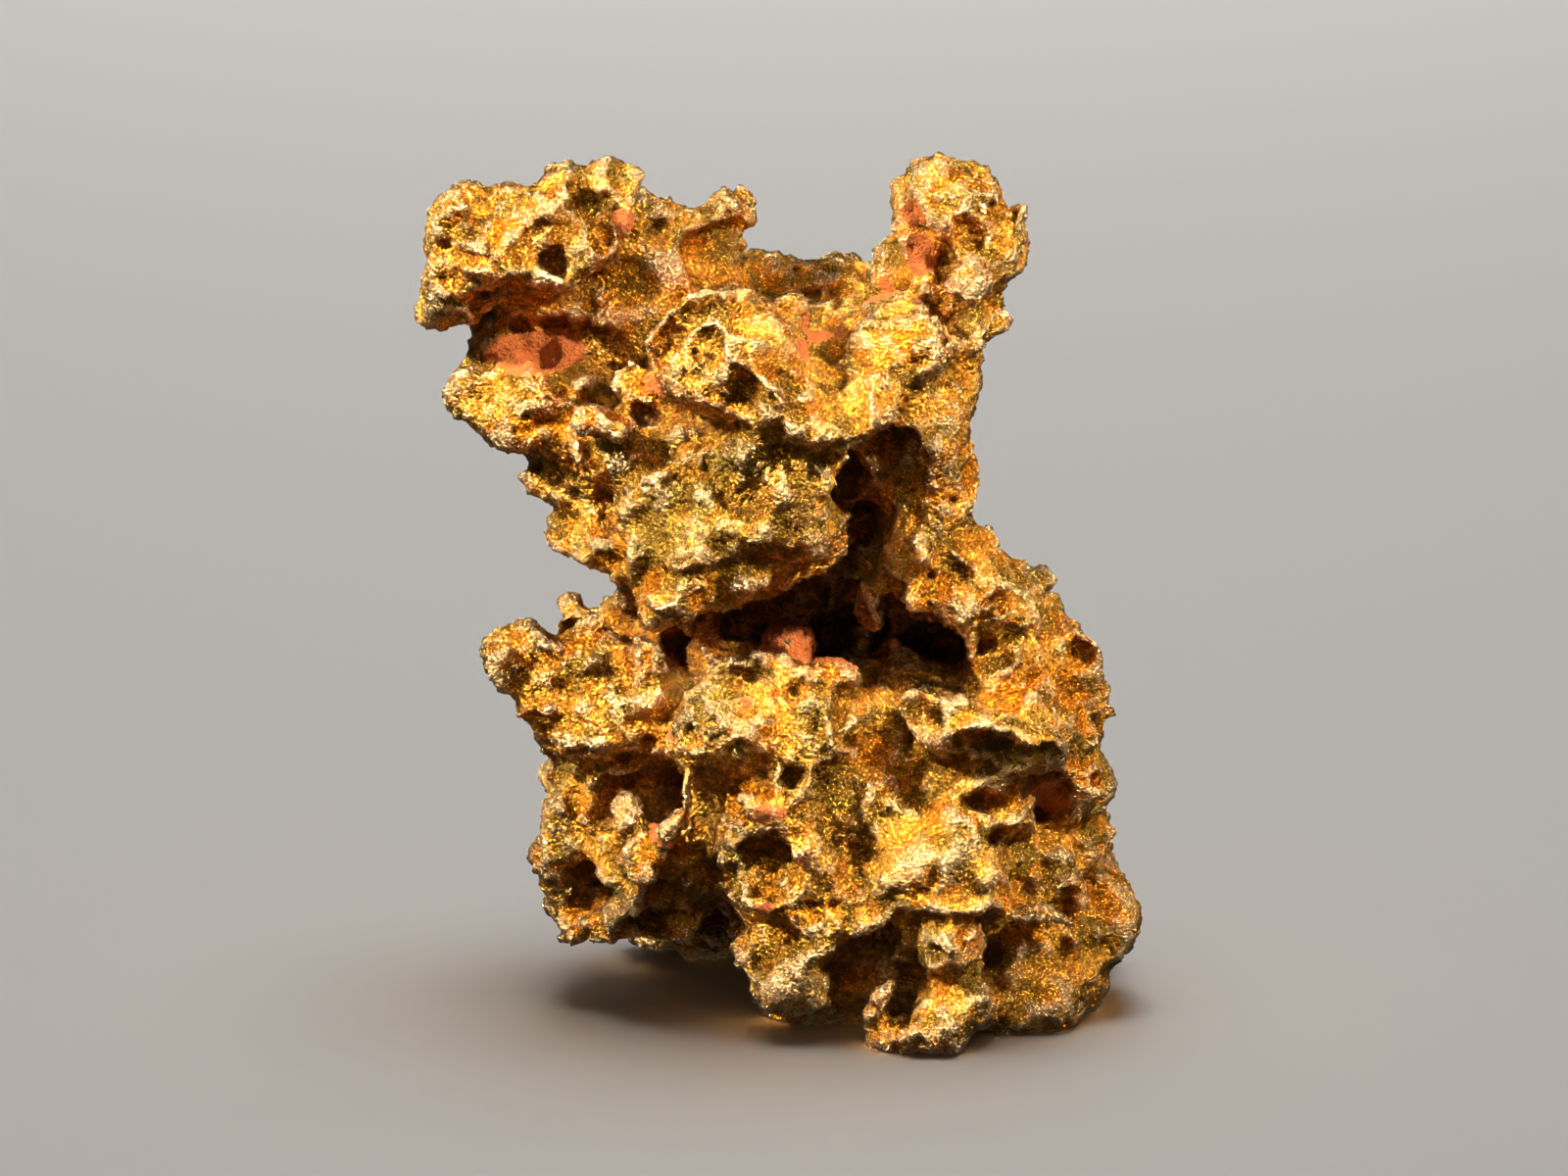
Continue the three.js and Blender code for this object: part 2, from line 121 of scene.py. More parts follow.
def settle(piece):  # turns the piece's modifiers into its mesh
    graph = bpy.context.evaluated_depsgraph_get()
    done = bpy.data.meshes.new_from_object(piece.evaluated_get(graph))
    old = piece.data
    piece.modifiers.clear()
    piece.data = done
    bpy.data.meshes.remove(old)


def remesh(piece, grain):
    skin = piece.modifiers.new("skin", "REMESH")
    skin.mode = "VOXEL"
    skin.voxel_size = grain * mm
    settle(piece)


def soften(piece, factor, times):
    rub = piece.modifiers.new("rub", "SMOOTH")
    rub.factor = factor
    rub.iterations = times
    settle(piece)


def combine(piece, other, operation):
    cut = piece.modifiers.new("cut", "BOOLEAN")
    cut.operation = operation
    cut.object = other
    cut.solver = "MANIFOLD"
    settle(piece)
    bpy.data.objects.remove(other)


lumps = [
    # lower body
    ("foundation", 38, 50, 26, 58, 44, 58),
    ("backBase", 20, 90, 52, 62, 42, 38),
    ("backHeel", -30, 54, 70, 26, 22, 22, 0, 0, 12),
    ("backHip", 62, 64, 62, 30, 30, 26),
    ("backHump", -22, 96, 74, 26, 24, 20),
    ("backRidge", 34, 118, 74, 22, 30, 14, 12),
    ("sideRight", 100, 60, 40, 16, 26, 24),
    ("sideLeft", -62, 96, 44, 18, 26, 24),
    ("rightBulk", 82, 52, 20, 32, 43, 44),
    ("rightToe", 110, 48, 10, 14, 17, 22, 10),
    ("leftBulk", -44, 82, 24, 32, 34, 40),
    ("leftColumn", -72, 80, 12, 7.5, 20, 20, 3),
    ("leftHeel", -75, 62, 12, 9, 14, 16),
    ("leftToe", -68, 44, 16, 10, 9, 22, 8),
    ("leftLip", -48, 48, 14, 25, 7, 26, 8),
    ("belly", 18, 74, -10, 40, 42, 38),
    ("middleBody", 26, 112, 16, 66, 30, 46),
    ("leftShoulder", -54, 120, 16, 36, 22, 30, 6),
    ("shoulderFront", -48, 112, 0, 28, 14, 18, 8, 30),
    ("shelf", -6, 112, -20, 34, 20, 24, 0, 30),
    ("leftKnob", -92, 132, 6, 9.5, 10, 12),
    ("leftKnobTop", -82, 138, 8, 8, 8, 11),
    ("leftKnobLow", -83, 118, 8, 9, 8, 12),
    ("shoulderTop", -66, 134, 10, 16, 10, 16),
    ("shoulderPeak", -60, 143, 12, 5, 9, 9),
    ("shoulderBlock", -46, 133, 2, 9, 11, 16),
    ("shoulderBack", -34, 128, 50, 42, 34, 28),
    ("apron", 52, 66, -26, 26, 22, 26, 0, 35),
    ("rightShoulder", 80, 136, 6, 17, 15, 26, -10),
    ("ledge", 72, 111, -24, 28, 11, 24, -14, -8),
    ("rightFace", 64, 92, -8, 26, 20, 30),
    ("rightWall", 98, 108, 14, 10, 18, 24),
    ("shoulderRoot", 84, 144, 24, 15, 15, 16),
    ("cupKnob", 102, 136, 6, 9.5, 11, 12),
    ("edgeKnob", 105, 123, 8, 7.5, 8, 11),
    ("wallLump", 104, 95, 8, 8, 7, 12),
    ("wallBack", 92, 117, 6, 10, 9, 16),
    ("wallBoulder", 105, 86, 4, 10, 8, 14, 12),
    ("wallTooth", 110, 75, 6, 7, 5, 9, 10),
    ("wallBase", 102, 70, 8, 13, 12, 18),
    ("faceD", 88, 28, 4, 24, 20, 36),
    ("faceA", 4, 28, -28, 15, 14, 20, 10),
    ("lumpC", 56, 39, -36, 13, 12, 16),
    ("foot", 48, 7, -42, 17, 8, 14, -3),
    ("footRight", 60, 18, -30, 16, 14, 20),
    ("pinnacle", 33, 22, -44, 5, 11, 7, -6),
    ("legLeft", -12, 34, -30, 5, 9, 10, -20),
    # waist and column
    ("waist", 4, 156, 40, 54, 36, 36),
    ("neckEdge", -48, 160, 30, 7, 12, 14, -10),
    ("column", 47, 188, 12, 16, 40, 36, 3),
    ("columnBack", 24, 180, 40, 34, 50, 32),
    ("columnFoot", 62, 160, 4, 22, 11, 30, -14),
    ("columnHeel", 58, 156, 34, 13, 13, 20),
    ("nose", 82, 158, 2, 11, 8, 20, -14),
    ("noseTop", 66, 170, 4, 14, 8, 22, -28),
    ("edgeBump1", 57, 193, 0, 8, 8, 14),
    ("edgeBump2", 60, 176, 2, 8, 6, 14),
    ("edgeBump3", 55, 203, 4, 8, 5, 16),
    # upper body
    ("face", -22, 189, -2, 37, 35, 38),
    ("faceLump1", -44, 196, -18, 15, 12, 20, 10),
    ("faceLump2", -28, 176, -24, 15, 13, 20, -20),
    ("faceLump3", -8, 206, -26, 14, 10, 18),
    ("faceLump4", 4, 184, -26, 12, 14, 16),
    ("faceLump5", 12, 170, -16, 12, 9, 16, -25),
    ("faceLump6", -58, 178, 0, 14, 10, 22),
    ("faceRight", 2, 194, -6, 22, 28, 36),
    ("lip", -28, 160, -14, 20, 12, 26, 0, -15),
    ("lipTooth", -9, 160, -34, 7, 5, 8, 25),
    ("upperBody", 6, 222, 22, 58, 34, 44),
    ("jawBody", -78, 217, 12, 27, 17, 26, -20),
    ("jawTip", -100, 226, 14, 13, 10, 16, -22),
    ("jawStep", -58, 208, -8, 16, 11, 24, -8),
    ("jawRoot", -59, 199, -2, 11, 9, 16),
    ("lowerJaw", -69, 192, 10, 17, 9, 24, -18),
    ("lowerJawTip", -83, 193, 10, 6, 6.5, 10),
    ("chin", -69, 178, 10, 11.5, 9, 18, 10),
    ("chinRight", -54, 180, 12, 12, 10, 20),
    ("rightUpper", 44, 222, 14, 22, 36, 40),
    ("brow", -14, 239, -18, 28, 20, 28, 6),
    ("browLow", 2, 226, -22, 20, 14, 24),
    ("belt", 20, 217, -34, 22, 8, 14, 14),
    ("beltTop", 30, 228, -26, 14, 8, 16, 10),
    ("rightBrow", 43, 244, -8, 18, 13, 22, -4),
    ("rightEdge1", 71, 251, 12, 6, 6, 9),
    ("rightEdge2", 63, 264, 8, 9, 7, 14),
    ("rightEdge3", 64, 240, 10, 6, 12, 14),
    ("rightEdge4", 64, 226, 12, 7, 9, 16),
    ("backRim", 8, 259, 56, 44, 18, 14),
    ("rimBump", -22, 262, 64, 14, 12, 12),
    ("rimBump2", 22, 256, 64, 18, 12, 10),
    ("backLump1", -30, 222, 76, 20, 16, 12, 20),
    ("backLump2", 18, 208, 80, 22, 24, 12, -15),
    ("backLump3", -18, 180, 74, 26, 18, 14),
    ("backLump4", 40, 160, 64, 16, 20, 14),
    ("backUpper", 2, 205, 50, 56, 56, 34),
    # wing
    ("wingLeft", -107, 272, 12, 15, 22, 20, -14),
    ("wingMiddle", -84, 276, 12, 28, 18, 20, 4),
    ("wingHump", -66, 288, 16, 18, 13, 16),
    ("wingKnob1", -57, 298, 16, 6, 7, 8),
    ("wingKnob2", -49, 296, 17, 5, 7, 7),
    ("wingKnob3", -73, 297, 15, 8, 6, 9),
    ("wingKnob4", -106, 291, 12, 6, 6, 9, -20),
    ("wingFoot", -117, 254, 12, 7.5, 7, 10),
    ("wingLobe", -100, 260, 6, 12, 9, 14),
    ("wingLobe2", -82, 262, 8, 11, 7, 14),
    ("wingBoss", -96, 278, -4, 9, 8, 8),
    ("wingBoss2", -80, 284, 0, 9, 7, 9),
    ("wingBoss3", -114, 270, 2, 8, 9, 9),
    ("wingSlope", -44, 266, 34, 30, 27, 16, -12, 10),
    ("wingStem", -31, 275, 42, 15, 15, 11),
    ("wingEnd", -17, 287, 42, 8, 5.5, 8, -10),
    ("wingUnder", -76, 248, 28, 30, 14, 20),
    ("wingRoot", -50, 240, 38, 38, 34, 26),
    # horn
    ("horn", 60, 283, 32, 20, 19, 22),
    ("hornBack", 56, 270, 48, 20, 24, 16),
    ("hornRight", 72, 276, 28, 11, 14, 16),
    ("hornTop", 56, 298, 34, 9, 6, 12),
    ("hornLip", 43, 294, 36, 7, 6, 11, 15),
    ("hornNeck", 56, 258, 30, 17, 22, 24),
    ("spur", 34, 266, 36, 9, 14, 14, -25),
]

hollows = [
    ("underFace", 14, 142, -24, 46, 14, 40),
    ("underFaceLeft", -27, 139, -22, 12, 10, 28),
    ("underFaceDeep", 26, 140, 2, 15, 9, 24),
    ("underFaceRoof", 24, 158, -38, 22, 13, 20),
    ("neckHollow", -48, 148, 4, 11, 8, 16),
    ("eye", 22, 190, -28, 6.5, 12.5, 26),
    ("eyeRight", 38, 196, -34, 12, 17, 16),
    ("bowl", -3, 63, -48, 12, 13, 12),
    ("spurShadow", -19, 85, -42, 8, 8, 10),
    ("valley", 24, 82, -50, 10, 24, 10, 12),
    ("valleyTop", 32, 108, -44, 12, 16, 16),
    ("cleft", -88, 240, -8, 28, 4, 26, 3),
    ("cleftDeep", -62, 236, -6, 14, 5, 22, -12),
    ("wingRecess", -80, 250, -4, 18, 8, 10),
    ("leftPocket", -50, 84, -16, 14, 13, 15),
    ("leftPocketTop", -37, 92, -20, 8, 9, 15),
    ("lowPocket", -59, 56, -10, 13, 7, 16),
    ("redPocket", -48, 223, -20, 11, 8, 18),
    ("topBowl", -6, 268, 20, 28, 14, 22),
    ("channel", 20, 256, 8, 22, 7, 18, 25),
    ("hornChannel", 48, 276, 12, 6, 16, 10, 20),
    ("rightRecess", 56, 252, -6, 8, 9, 12),
    ("underLeft", -42, 30, 0, 34, 13, 60, 8),
    ("underBack", 10, 22, 96, 30, 12, 22),
    ("backPocket1", -10, 130, 92, 22, 12, 20, 10),
    ("backPocket2", 4, 160, 88, 16, 8, 16, -20),
    ("backPocket3", -26, 200, 88, 10, 12, 14),
    ("backPocket4", 44, 190, 74, 10, 18, 14),
    ("backPocket5", 30, 88, 96, 14, 20, 14, 20),
    ("sidePocketLeft", -80, 104, 44, 12, 9, 12),
    ("sidePocketRight", 116, 84, 40, 10, 10, 14),
    ("neckRight", 66, 216, 44, 10, 22, 14),
    ("recessB", 30, 37, -44, 11, 11, 14),
    ("gapC", 72, 30, -34, 6, 12, 12),
    ("underLedge", 70, 88, -46, 11, 6, 10, 12),
    ("underLedgeFront", 76, 97, -52, 28, 8, 15, -12),
    ("cup", 103, 134, -6, 5, 6, 7),
    ("toeCup", 111, 55, -12, 5.5, 9, 5),
    ("sidePocket", 83, 61, -28, 5, 8, 5),
    ("slot", 52, 68, -46, 3, 9, 4),
    ("browHollow", -25, 232, -47, 9, 9, 8, 20),
    ("browPocket", 4, 229, -52, 11, 5, 7, -14),
    ("faceHollow", -24, 201, -44, 9, 9, 9),
    ("faceSlot", -65, 205, -28, 4, 7, 5),
    ("wingHollow", -77, 267, -10, 5, 4, 8),
    ("wingHollow2", -60, 278, 0, 7, 6, 6),
    ("wingHollow3", -66, 290, 2, 8, 5, 5),
    ("jawPocket", -80, 193, -8, 5, 6, 8),
    ("chinPocket", -76, 180, -8, 5, 3.5, 8),
]

ridges = [
    ("innerLump", -49, 82, -12, 8, 8, 9),
    ("innerLump2", -56, 64, -12, 8, 5, 9),
    ("underLump", 4, 140, -6, 10, 6, 14),
    ("hangingLump", 33, 152, -2, 5, 9, 12),
    ("ridge", -12, 89, -40, 13, 73, -42, 5.5, 7),
    ("ridge", -30, 82, -28, -44, 65, -20, 4.5, 6),
    ("ridge", -44, 65, -20, -62, 46, -8, 4, 6),
    ("ridge", -43, 241, -34, -34, 254, -34, 3.5, 5),
    ("ridge", -34, 254, -34, -6, 260, -30, 3.5, 5),
    ("ridge", -108, 266, -6, -86, 265, -8, 4.5, 6),
    ("ridge", -86, 263, -8, -70, 259, -4, 4, 6),
    ("ridge", -68, 218, -22, -50, 216, -30, 5, 7),
    ("ridge", -26, 131, -26, 0, 133, -30, 6, 8),
    ("ridge", 0, 133, -30, 24, 130, -28, 6, 8),
    ("ridge", 40, 122, -40, 47, 127, -36, 3, 4),
    ("ridge", -8, 24, -40, 16, 40, -44, 4, 6),
    ("ridge", 18, 44, -42, 44, 52, -46, 4, 6),
    ("ridge", 46, 50, -48, 76, 50, -42, 4, 6),
    ("ridge", 76, 48, -38, 100, 48, -24, 4, 6),
    ("ridge", 50, 18, -44, 62, 8, -44, 3, 5),
]

nuggetMake = {
    "roughGrain": 1.7,  # mm, the mesh spacing while the lumps are joined
    "detailGrain": 0.9,
    "grain": 1.15,  # mm, the mesh spacing of the finished skin
    "mostTriangles": 196000,
}

def join(piece, forms, operation, grain, inPlace=False):
    other = newPiece("forms", forms, inPlace)
    remesh(other, grain)
    combine(piece, other, operation)


nugget = newPiece("nugget", [readForm(row) for row in lumps])
remesh(nugget, nuggetMake["roughGrain"])
join(nugget, [readForm(row) for row in hollows], "DIFFERENCE", nuggetMake["roughGrain"])
join(nugget, [readForm(row) for row in ridges], "UNION", nuggetMake["roughGrain"])
remesh(nugget, nuggetMake["roughGrain"])
soften(nugget, 0.5, 2)
print("lumps joined and hollows cut:", len(nugget.data.polygons), "faces")


# Forms of a few mm on the front, as x, height seen, half width, half height, how far they stand out (or, below
# zero, go in) and lean; an edge runs from one x and height seen to another, then its half height and how far out
frontForms = [
    # wing
    (-109, 281, 9, 9, 3),
    ("edge", -109, 277, -100, 273, 2.5, 4),
    ("edge", -100, 273, -91, 270, 2.5, 4),
    ("edge", -105, 266, -87, 265, 3, 5),
    (-95, 254, 11, 7, -10),
    (-97, 277, 6, 3, -4),
    (-113, 263, 4, 4, -5),
    ("edge", -85, 268, -70, 262, 2.5, 5),
    (-77, 268, 6, 3.5, -7),
    ("edge", -86, 274, -80, 272, 2, 3.5),
    ("edge", -80, 272, -76, 290, 2.4, 4),
    ("edge", -76, 290, -70, 300, 2.4, 3.5),
    (-62, 278, 8, 6, -3.5),
    (-66, 289, 6, 5, -4.5),
    (-53, 285, 6, 5, -8),
    (-80, 281, 3, 3, -4),
    (-92, 284, 6, 4, -4.5),
    (-40, 281, 7, 5, -4),
    (-24, 287, 3, 2, -3),
    (-25, 275, 4, 3, -4),
    (-52, 296, 2.5, 2, -3),
    ("edge", -58, 291, -46, 283, 2, 3),
    (-97, 243, 4.5, 3.5, 6),
    (-82, 240, 6, 5, -9),
    (-64, 247, 2.5, 3, -6),
    (-50, 262, 9, 10, -3, 25),
    ("edge", -46, 274, -38, 252, 1.6, 2),
    ("edge", -68, 268, -50, 276, 2, 3),
    # jaw
    (-107, 232, 4.5, 3.5, 3),
    (-98, 231, 4.5, 3.5, 4),
    (-85, 233, 5, 3.5, 4.5),
    (-75, 234, 4, 3.5, 4),
    (-66, 228, 5.5, 5, 5),
    (-74, 228, 4, 4, -6),
    (-101, 225, 4.5, 4, -5),
    (-60, 223, 4, 5, -8),
    (-47, 226, 10, 9, 4, -20),
    (-44, 217, 4.5, 3.5, -7),
    (-66, 215, 6, 5, 5),
    (-56, 213, 5.5, 5, 5),
    (-64, 205, 3, 6, -7),
    ("edge", -61, 211, -60, 200, 1.8, 3.5),
    (-88, 214, 13, 5, -3, -25),
    ("edge", -90, 196, -83, 200, 2, 3),
    (-82, 193, 4, 5, -6),
    (-73, 189, 7, 4.5, -6),
    ("edge", -68, 197, -56, 200, 2.4, 4.5),
    (-76, 180, 5, 3.5, -6),
    (-75, 173, 4, 4, 3),
    (-68, 170, 4, 3.5, 3),
    (-62, 174, 4, 4, 3.5),
    (-47, 207, 3, 2, -4),
    (-43, 202, 1.6, 1.6, -3),
    # brow
    (-24, 240, 7, 7, -4, 25),
    (-37, 242, 5, 7, -4, 25),
    ("edge", -21, 242, -8, 232, 2.6, 5),
    ("edge", -8, 232, 1, 221, 2.6, 5),
    (3, 229, 6, 5, -5),
    (-10, 248, 9, 6, -4, 10),
    ("edge", -30, 222, -12, 219, 2, 4),
    # saddle and red channel
    (25, 257, 2.6, 2.6, 4),
    (50, 273, 5, 4, 3),
    (17, 250, 3.5, 3, -6),
    (11, 243, 3, 3, -6),
    (19, 237, 3, 3, -5),
    (30, 246, 5, 3, -4, 15),
    # horn
    (79, 281, 4, 8, 3, -15),
    (64, 267, 6, 5, 6),
    ("edge", 63, 262, 70, 267, 1.8, 4),
    ("edge", 70, 267, 72, 261, 1.8, 4),
    (74, 257, 2.2, 2.2, -4),
    (64, 279, 9, 6, -5, 15),
    (50, 288, 5, 5, -4),
    (70, 291, 5, 4, 2.5),
    (76, 251, 4, 4, 3),
    (68, 244, 4, 4, 4),
    (66, 228, 4, 4, 3),
    (56, 252, 6, 8, -7),
    ("edge", 28, 253, 40, 252, 2.5, 5),
    ("edge", 40, 252, 52, 247, 2.5, 5),
    ("edge", 52, 247, 60, 240, 2.5, 4.5),
    (48, 235, 6, 3.5, -4.5),
    (58, 227, 3.5, 4, -5),
    (18, 229, 4, 3, -6),
    # belt and eye hole
    ("edge", 28, 214, 33, 226, 2.5, 4),
    (25, 215, 5, 4, -7),
    (10, 213, 7, 5, 4),
    ("edge", -1, 210, 12, 207, 2, 4),
    ("edge", 12, 207, 20, 210, 2, 4),
    ("edge", 20, 210, 36, 214, 2.2, 4),
    (12, 200, 4, 3, 4),
    (22, 204, 2.6, 4.5, 6),
    (3, 205, 6, 2.5, -5, -10),
    ("edge", 15.5, 180, 16, 201, 1.8, 3.5),
    (46, 184, 4, 3, -5),
    (40, 209, 9, 8, -4),
    (38, 192, 3, 6, -3),
    # face
    (-25, 200, 10, 8, -4.5, 20),
    (-15, 190, 8, 6, -4, -25),
    (-33, 186, 4, 3.5, -5),
    (-46, 183, 3.5, 3.5, -5),
    (-43, 195, 5, 4, 4),
    (-34, 211, 7, 3.5, 4, 10),
    (0, 193, 5, 8, 4),
    (-4, 177, 7, 5, 4, -20),
    (5, 169, 5, 4, -4),
    (-18, 173, 7, 3, -4, -10),
    (-48, 172, 5, 6, 3),
    (-32, 157, 12, 7, 4),
    ("edge", -48, 160, -40, 153, 2.5, 3.5),
    ("edge", -40, 152, -28, 146, 2.5, 4),
    ("edge", -21, 151, -8, 158, 2, 3.5),
    (-5, 162, 3, 4, 5),
    (-53, 159, 2.6, 6, 3),
    (-49, 148, 9, 5, -9),
    # right edge of the column
    ("edge", 46, 205, 66, 205, 2.2, 4),
    (66, 200, 3.5, 3.5, 3.5),
    (65, 193, 5, 5, 3),
    (62, 188, 4.5, 3.5, -7),
    ("edge", 52, 184, 65, 181, 2.2, 4.5),
    (70, 176, 6, 5, 3.5),
    ("edge", 57, 172, 68, 164, 2.4, 4.5),
    ("edge", 68, 164, 76, 160, 2.4, 4.5),
    ("edge", 80, 168, 87, 165, 2, 3.5),
    (92, 161, 3.5, 3, 3),
    (79, 155, 12, 3.5, -7),
    (72, 151, 5, 4, 4),
    (48, 170, 4, 4, 4),
    (56, 166, 3, 3, 3),
    (46, 177, 3.5, 3.5, 3.5),
    (39, 177, 3, 3, 3.5),
    (23, 175, 3, 3, 4),
    (29, 173, 3, 3, 4),
    (52, 163, 3, 2.4, -5),
    (33, 170, 3, 4, -6),
    # hanging lobes
    (18, 156, 3.5, 7, 7),
    (32, 152, 3.6, 9, 7),
    (45, 156, 4, 6, 7),
    (38, 158, 3, 6, -8),
    (8, 157, 4, 4, 5),
    (3, 151, 4, 3, 4),
    (26, 140, 12, 9, -9),
    (50, 140, 9, 9, -9),
    (4, 140, 7, 3.5, 6),
    # left shoulder
    (-95, 134, 6, 6, 3),
    (-88, 127, 4, 4, -6),
    (-82, 142, 5, 4, 3),
    (-80, 128, 5, 4, 4),
    (-73, 127, 4, 3, -5),
    (-79, 122, 6, 2, -5),
    (-91, 124, 4, 2.5, -4),
    (-60, 147, 3, 5, 3),
    (-62, 133, 6, 5, 3.5),
    (-44, 137, 7, 7, 6),
    (-33, 138, 5, 8, -12),
    (-53, 128, 3, 5, -4),
    (-25, 135, 3.4, 3, 4),
    (-15, 134, 4, 3, 4),
    (-7, 136, 4.5, 3, 5),
    (1, 136, 4.5, 3, 5),
    (-12, 128, 6, 3, -4),
    (-87, 117, 5, 4, 3),
    (-78, 118, 4, 3, 3.5),
    (-66, 117, 4.5, 4, 3.5),
    (-61, 121, 2.4, 3, -4),
    (-81, 111, 6, 2.2, -4),
    (-71, 107, 7, 4, 3),
    (-57, 110, 4.5, 1.8, -3),
    (-48, 119, 12, 5, 3.5, 8),
    ("edge", -35, 116, -27, 126, 1.4, -4),
    (-45, 106, 3.6, 3, -6),
    (-33, 109, 7, 3.5, -4, -20),
    (-12, 119, 6, 3, -3),
    # left column and its pockets
    ("edge", -61, 96, -46, 99, 2.5, 4),
    (-37, 90, 6, 8, -9, 10),
    (-66, 97, 6, 4, 3),
    (-66, 86, 4.5, 5, -4.5),
    (-75, 84, 4, 4, 3),
    (-67, 74, 4.5, 3.5, -5),
    (-79, 68, 3.5, 5, 3),
    (-72, 66, 4, 3, 2.5),
    ("edge", -73, 60, -64, 59, 1, -2.5),
    ("edge", -73, 63.5, -64, 63, 1, -2.5),
    (-70, 55, 3.2, 3, 4),
    (-60, 54, 9, 5, -7),
    (-38, 77, 4, 4, 4),
    # between the left pocket and the bowl
    (-36, 65, 5, 3, 4),
    (-38, 56, 4, 3, -5),
    ("edge", -35, 55, -26, 60, 1.5, 4),
    (-28, 69, 4.5, 2.4, -5),
    (-19, 66, 3.4, 3, 4.5),
    (-22, 56, 5, 3, 4.5),
    (-15, 54, 3, 4, 4),
    ("edge", -52, 49, -40, 51, 1.7, 3.5),
    ("edge", -40, 51, -22, 49, 1.7, 3.5),
    (-17, 86, 6, 6, -8),
    (-22, 77, 5, 3, -4),
    ("edge", -32, 98, -30, 82, 2, 3.5),
    (-27, 97, 3, 2.5, -4),
    (-7, 101, 2.2, 2.2, -5),
    (-13, 105, 4, 3, -4),
    ("edge", -30, 104, -16, 101, 1.5, 3),
    (4, 95, 4, 3.6, -6),
    (8, 89, 4, 6, 4),
    (0, 76, 3, 2, -4),
    ("edge", -3, 99, 2, 88, 1.6, 3.5),
    ("edge", 8, 100, 11, 85, 1.8, 3.5),
    (8, 70, 5, 4, 3.5),
    (-6, 69, 8, 5, -3),
    (-11, 57, 3, 4, 4),
    (5, 60, 4, 5, 3.5),
    # middle
    (4, 124, 3, 3, -6),
    (10, 119, 4, 5, 4),
    ("edge", 16, 106, 16, 126, 2, 3.5),
    ("edge", 12, 108, 22, 103, 1.3, 3.5),
    ("edge", 20, 106, 29, 102, 1.3, 3.5),
    (23, 113, 4.5, 4, 4),
    (34, 110, 5, 8, -4),
    (24, 131, 3, 3, 4),
    (22, 92, 8, 11, -3),
    (18, 78, 6, 8, -3),
    (32, 84, 3, 6, -4),
    ("edge", 37, 122, 43, 116, 2, 5),
    ("edge", 43, 116, 46, 111, 2, 5),
    (44, 104, 5, 6, -5),
    # ledge
    (57, 118, 9, 6, 4, -15),
    (53, 115, 4.5, 3.4, -4, -20),
    ("edge", 60, 118, 73, 110, 3, 4.5),
    ("edge", 73, 110, 81, 112, 2.4, 4),
    (66, 125, 4, 4, 4),
    (86, 118, 6.5, 6, 4.5),
    (78, 116, 4, 3, 3),
    (71, 121, 3.6, 4, -8),
    (82, 114, 2.8, 1.8, -4),
    ("edge", 80, 108, 91, 106, 2, 4),
    ("edge", 91, 106, 99, 100, 2, 4),
    (75, 106, 6, 2.2, -5),
    (90, 103, 6, 2.4, -5),
    (68, 97, 6, 3.4, -5, 12),
    (84, 95, 6, 2.6, -4),
    ("edge", 50, 108, 66, 102, 1.6, 3),
    (56, 95, 5, 4, -4),
    # right wall
    (99, 111, 5, 9, -5),
    ("edge", 107, 119, 107, 103, 2.5, 3),
    ("edge", 93, 121, 97, 108, 1.6, 3.5),
    (104, 96, 6, 4, 4),
    (106, 86, 8, 6.5, 3, 15),
    (112, 76, 5, 3.4, 3),
    (92, 88, 7, 4, -4, 15),
    (94, 68, 5.5, 4, 3.5),
    (82, 62, 4.5, 8, -4, -8),
    (111, 56, 6, 8, -3.5),
    (97, 58, 5, 5, 3),
    (106, 67, 5, 3, 2),
    # pockets beside the slope
    (70, 87, 9, 3.4, -10),
    (79, 81, 5, 4.5, 3),
    (71, 79, 4, 3, 3.5),
    (75, 74, 5, 3, -6),
    ("edge", 64, 85, 68, 72, 1.7, 3.5),
    ("edge", 83, 87, 87, 76, 1.9, 3.5),
    (52, 66, 2.2, 9, -3.5, 6),
    (50, 56, 2, 4, -3),
    (54, 75, 3.2, 4, -4),
    ("edge", 30, 60, 43, 65, 1.3, 2.6),
    ("edge", 29, 56, 41, 59, 1.3, 2.6),
    ("edge", 56, 62, 60, 70, 1.4, 2.6),
    (42, 82, 7, 5, 3),
    (58, 82, 6, 5, 3),
    (70, 62, 5, 6, 3),
    # bottom ledge and what hangs under it
    (21, 51, 9, 2, -4),
    (52, 46, 5, 3, -5),
    (62, 45, 3.2, 3.2, -6),
    (62, 39, 2.6, 2.6, -7),
    (50, 36, 6, 3, -5),
    ("edge", 42, 48, 41, 38, 1.7, 3),
    ("edge", 41, 38, 42, 29, 1.7, 3),
    ("edge", 64, 44, 70, 41, 2.2, 4.5),
    ("edge", 70, 41, 67, 28, 2.2, 4),
    (40, 33, 2.8, 2.2, 4),
    (72, 33, 2.4, 5, -6),
    (76, 23, 3.4, 2, -5),
    (87, 34, 8, 6, 3),
    (90, 22, 9, 5, -3),
    ("edge", 100, 46, 102, 36, 2.2, 4),
    ("edge", 102, 36, 112, 30, 2.2, 4),
    (108, 41, 4.5, 4, 4),
    (116, 34, 4, 3.6, 3.5),
    ("edge", 110, 29, 108, 15, 1.3, 2.2),
    ("edge", 34, 7, 46, 7, 1.7, 4),
    ("edge", 46, 7, 62, 12, 1.9, 4),
    ("edge", 45, 14, 50, 20, 1.8, 4),
    ("edge", 50, 20, 58, 11, 1.8, 4),
    (42, 13, 5, 3, -4),
    (12, 45, 8, 4, 3),
    (-4, 40, 5, 4, 3.5),
    (-5, 50, 9, 2.6, 2.5),
    # left lip and leg
    (-74, 45, 2.8, 5, 3),
    (-72, 38, 2.8, 3, 3),
    (-66, 38, 4, 3, -6),
    (-64, 45, 5, 3, 3.5),
    (-57, 43, 4, 3, 3.5),
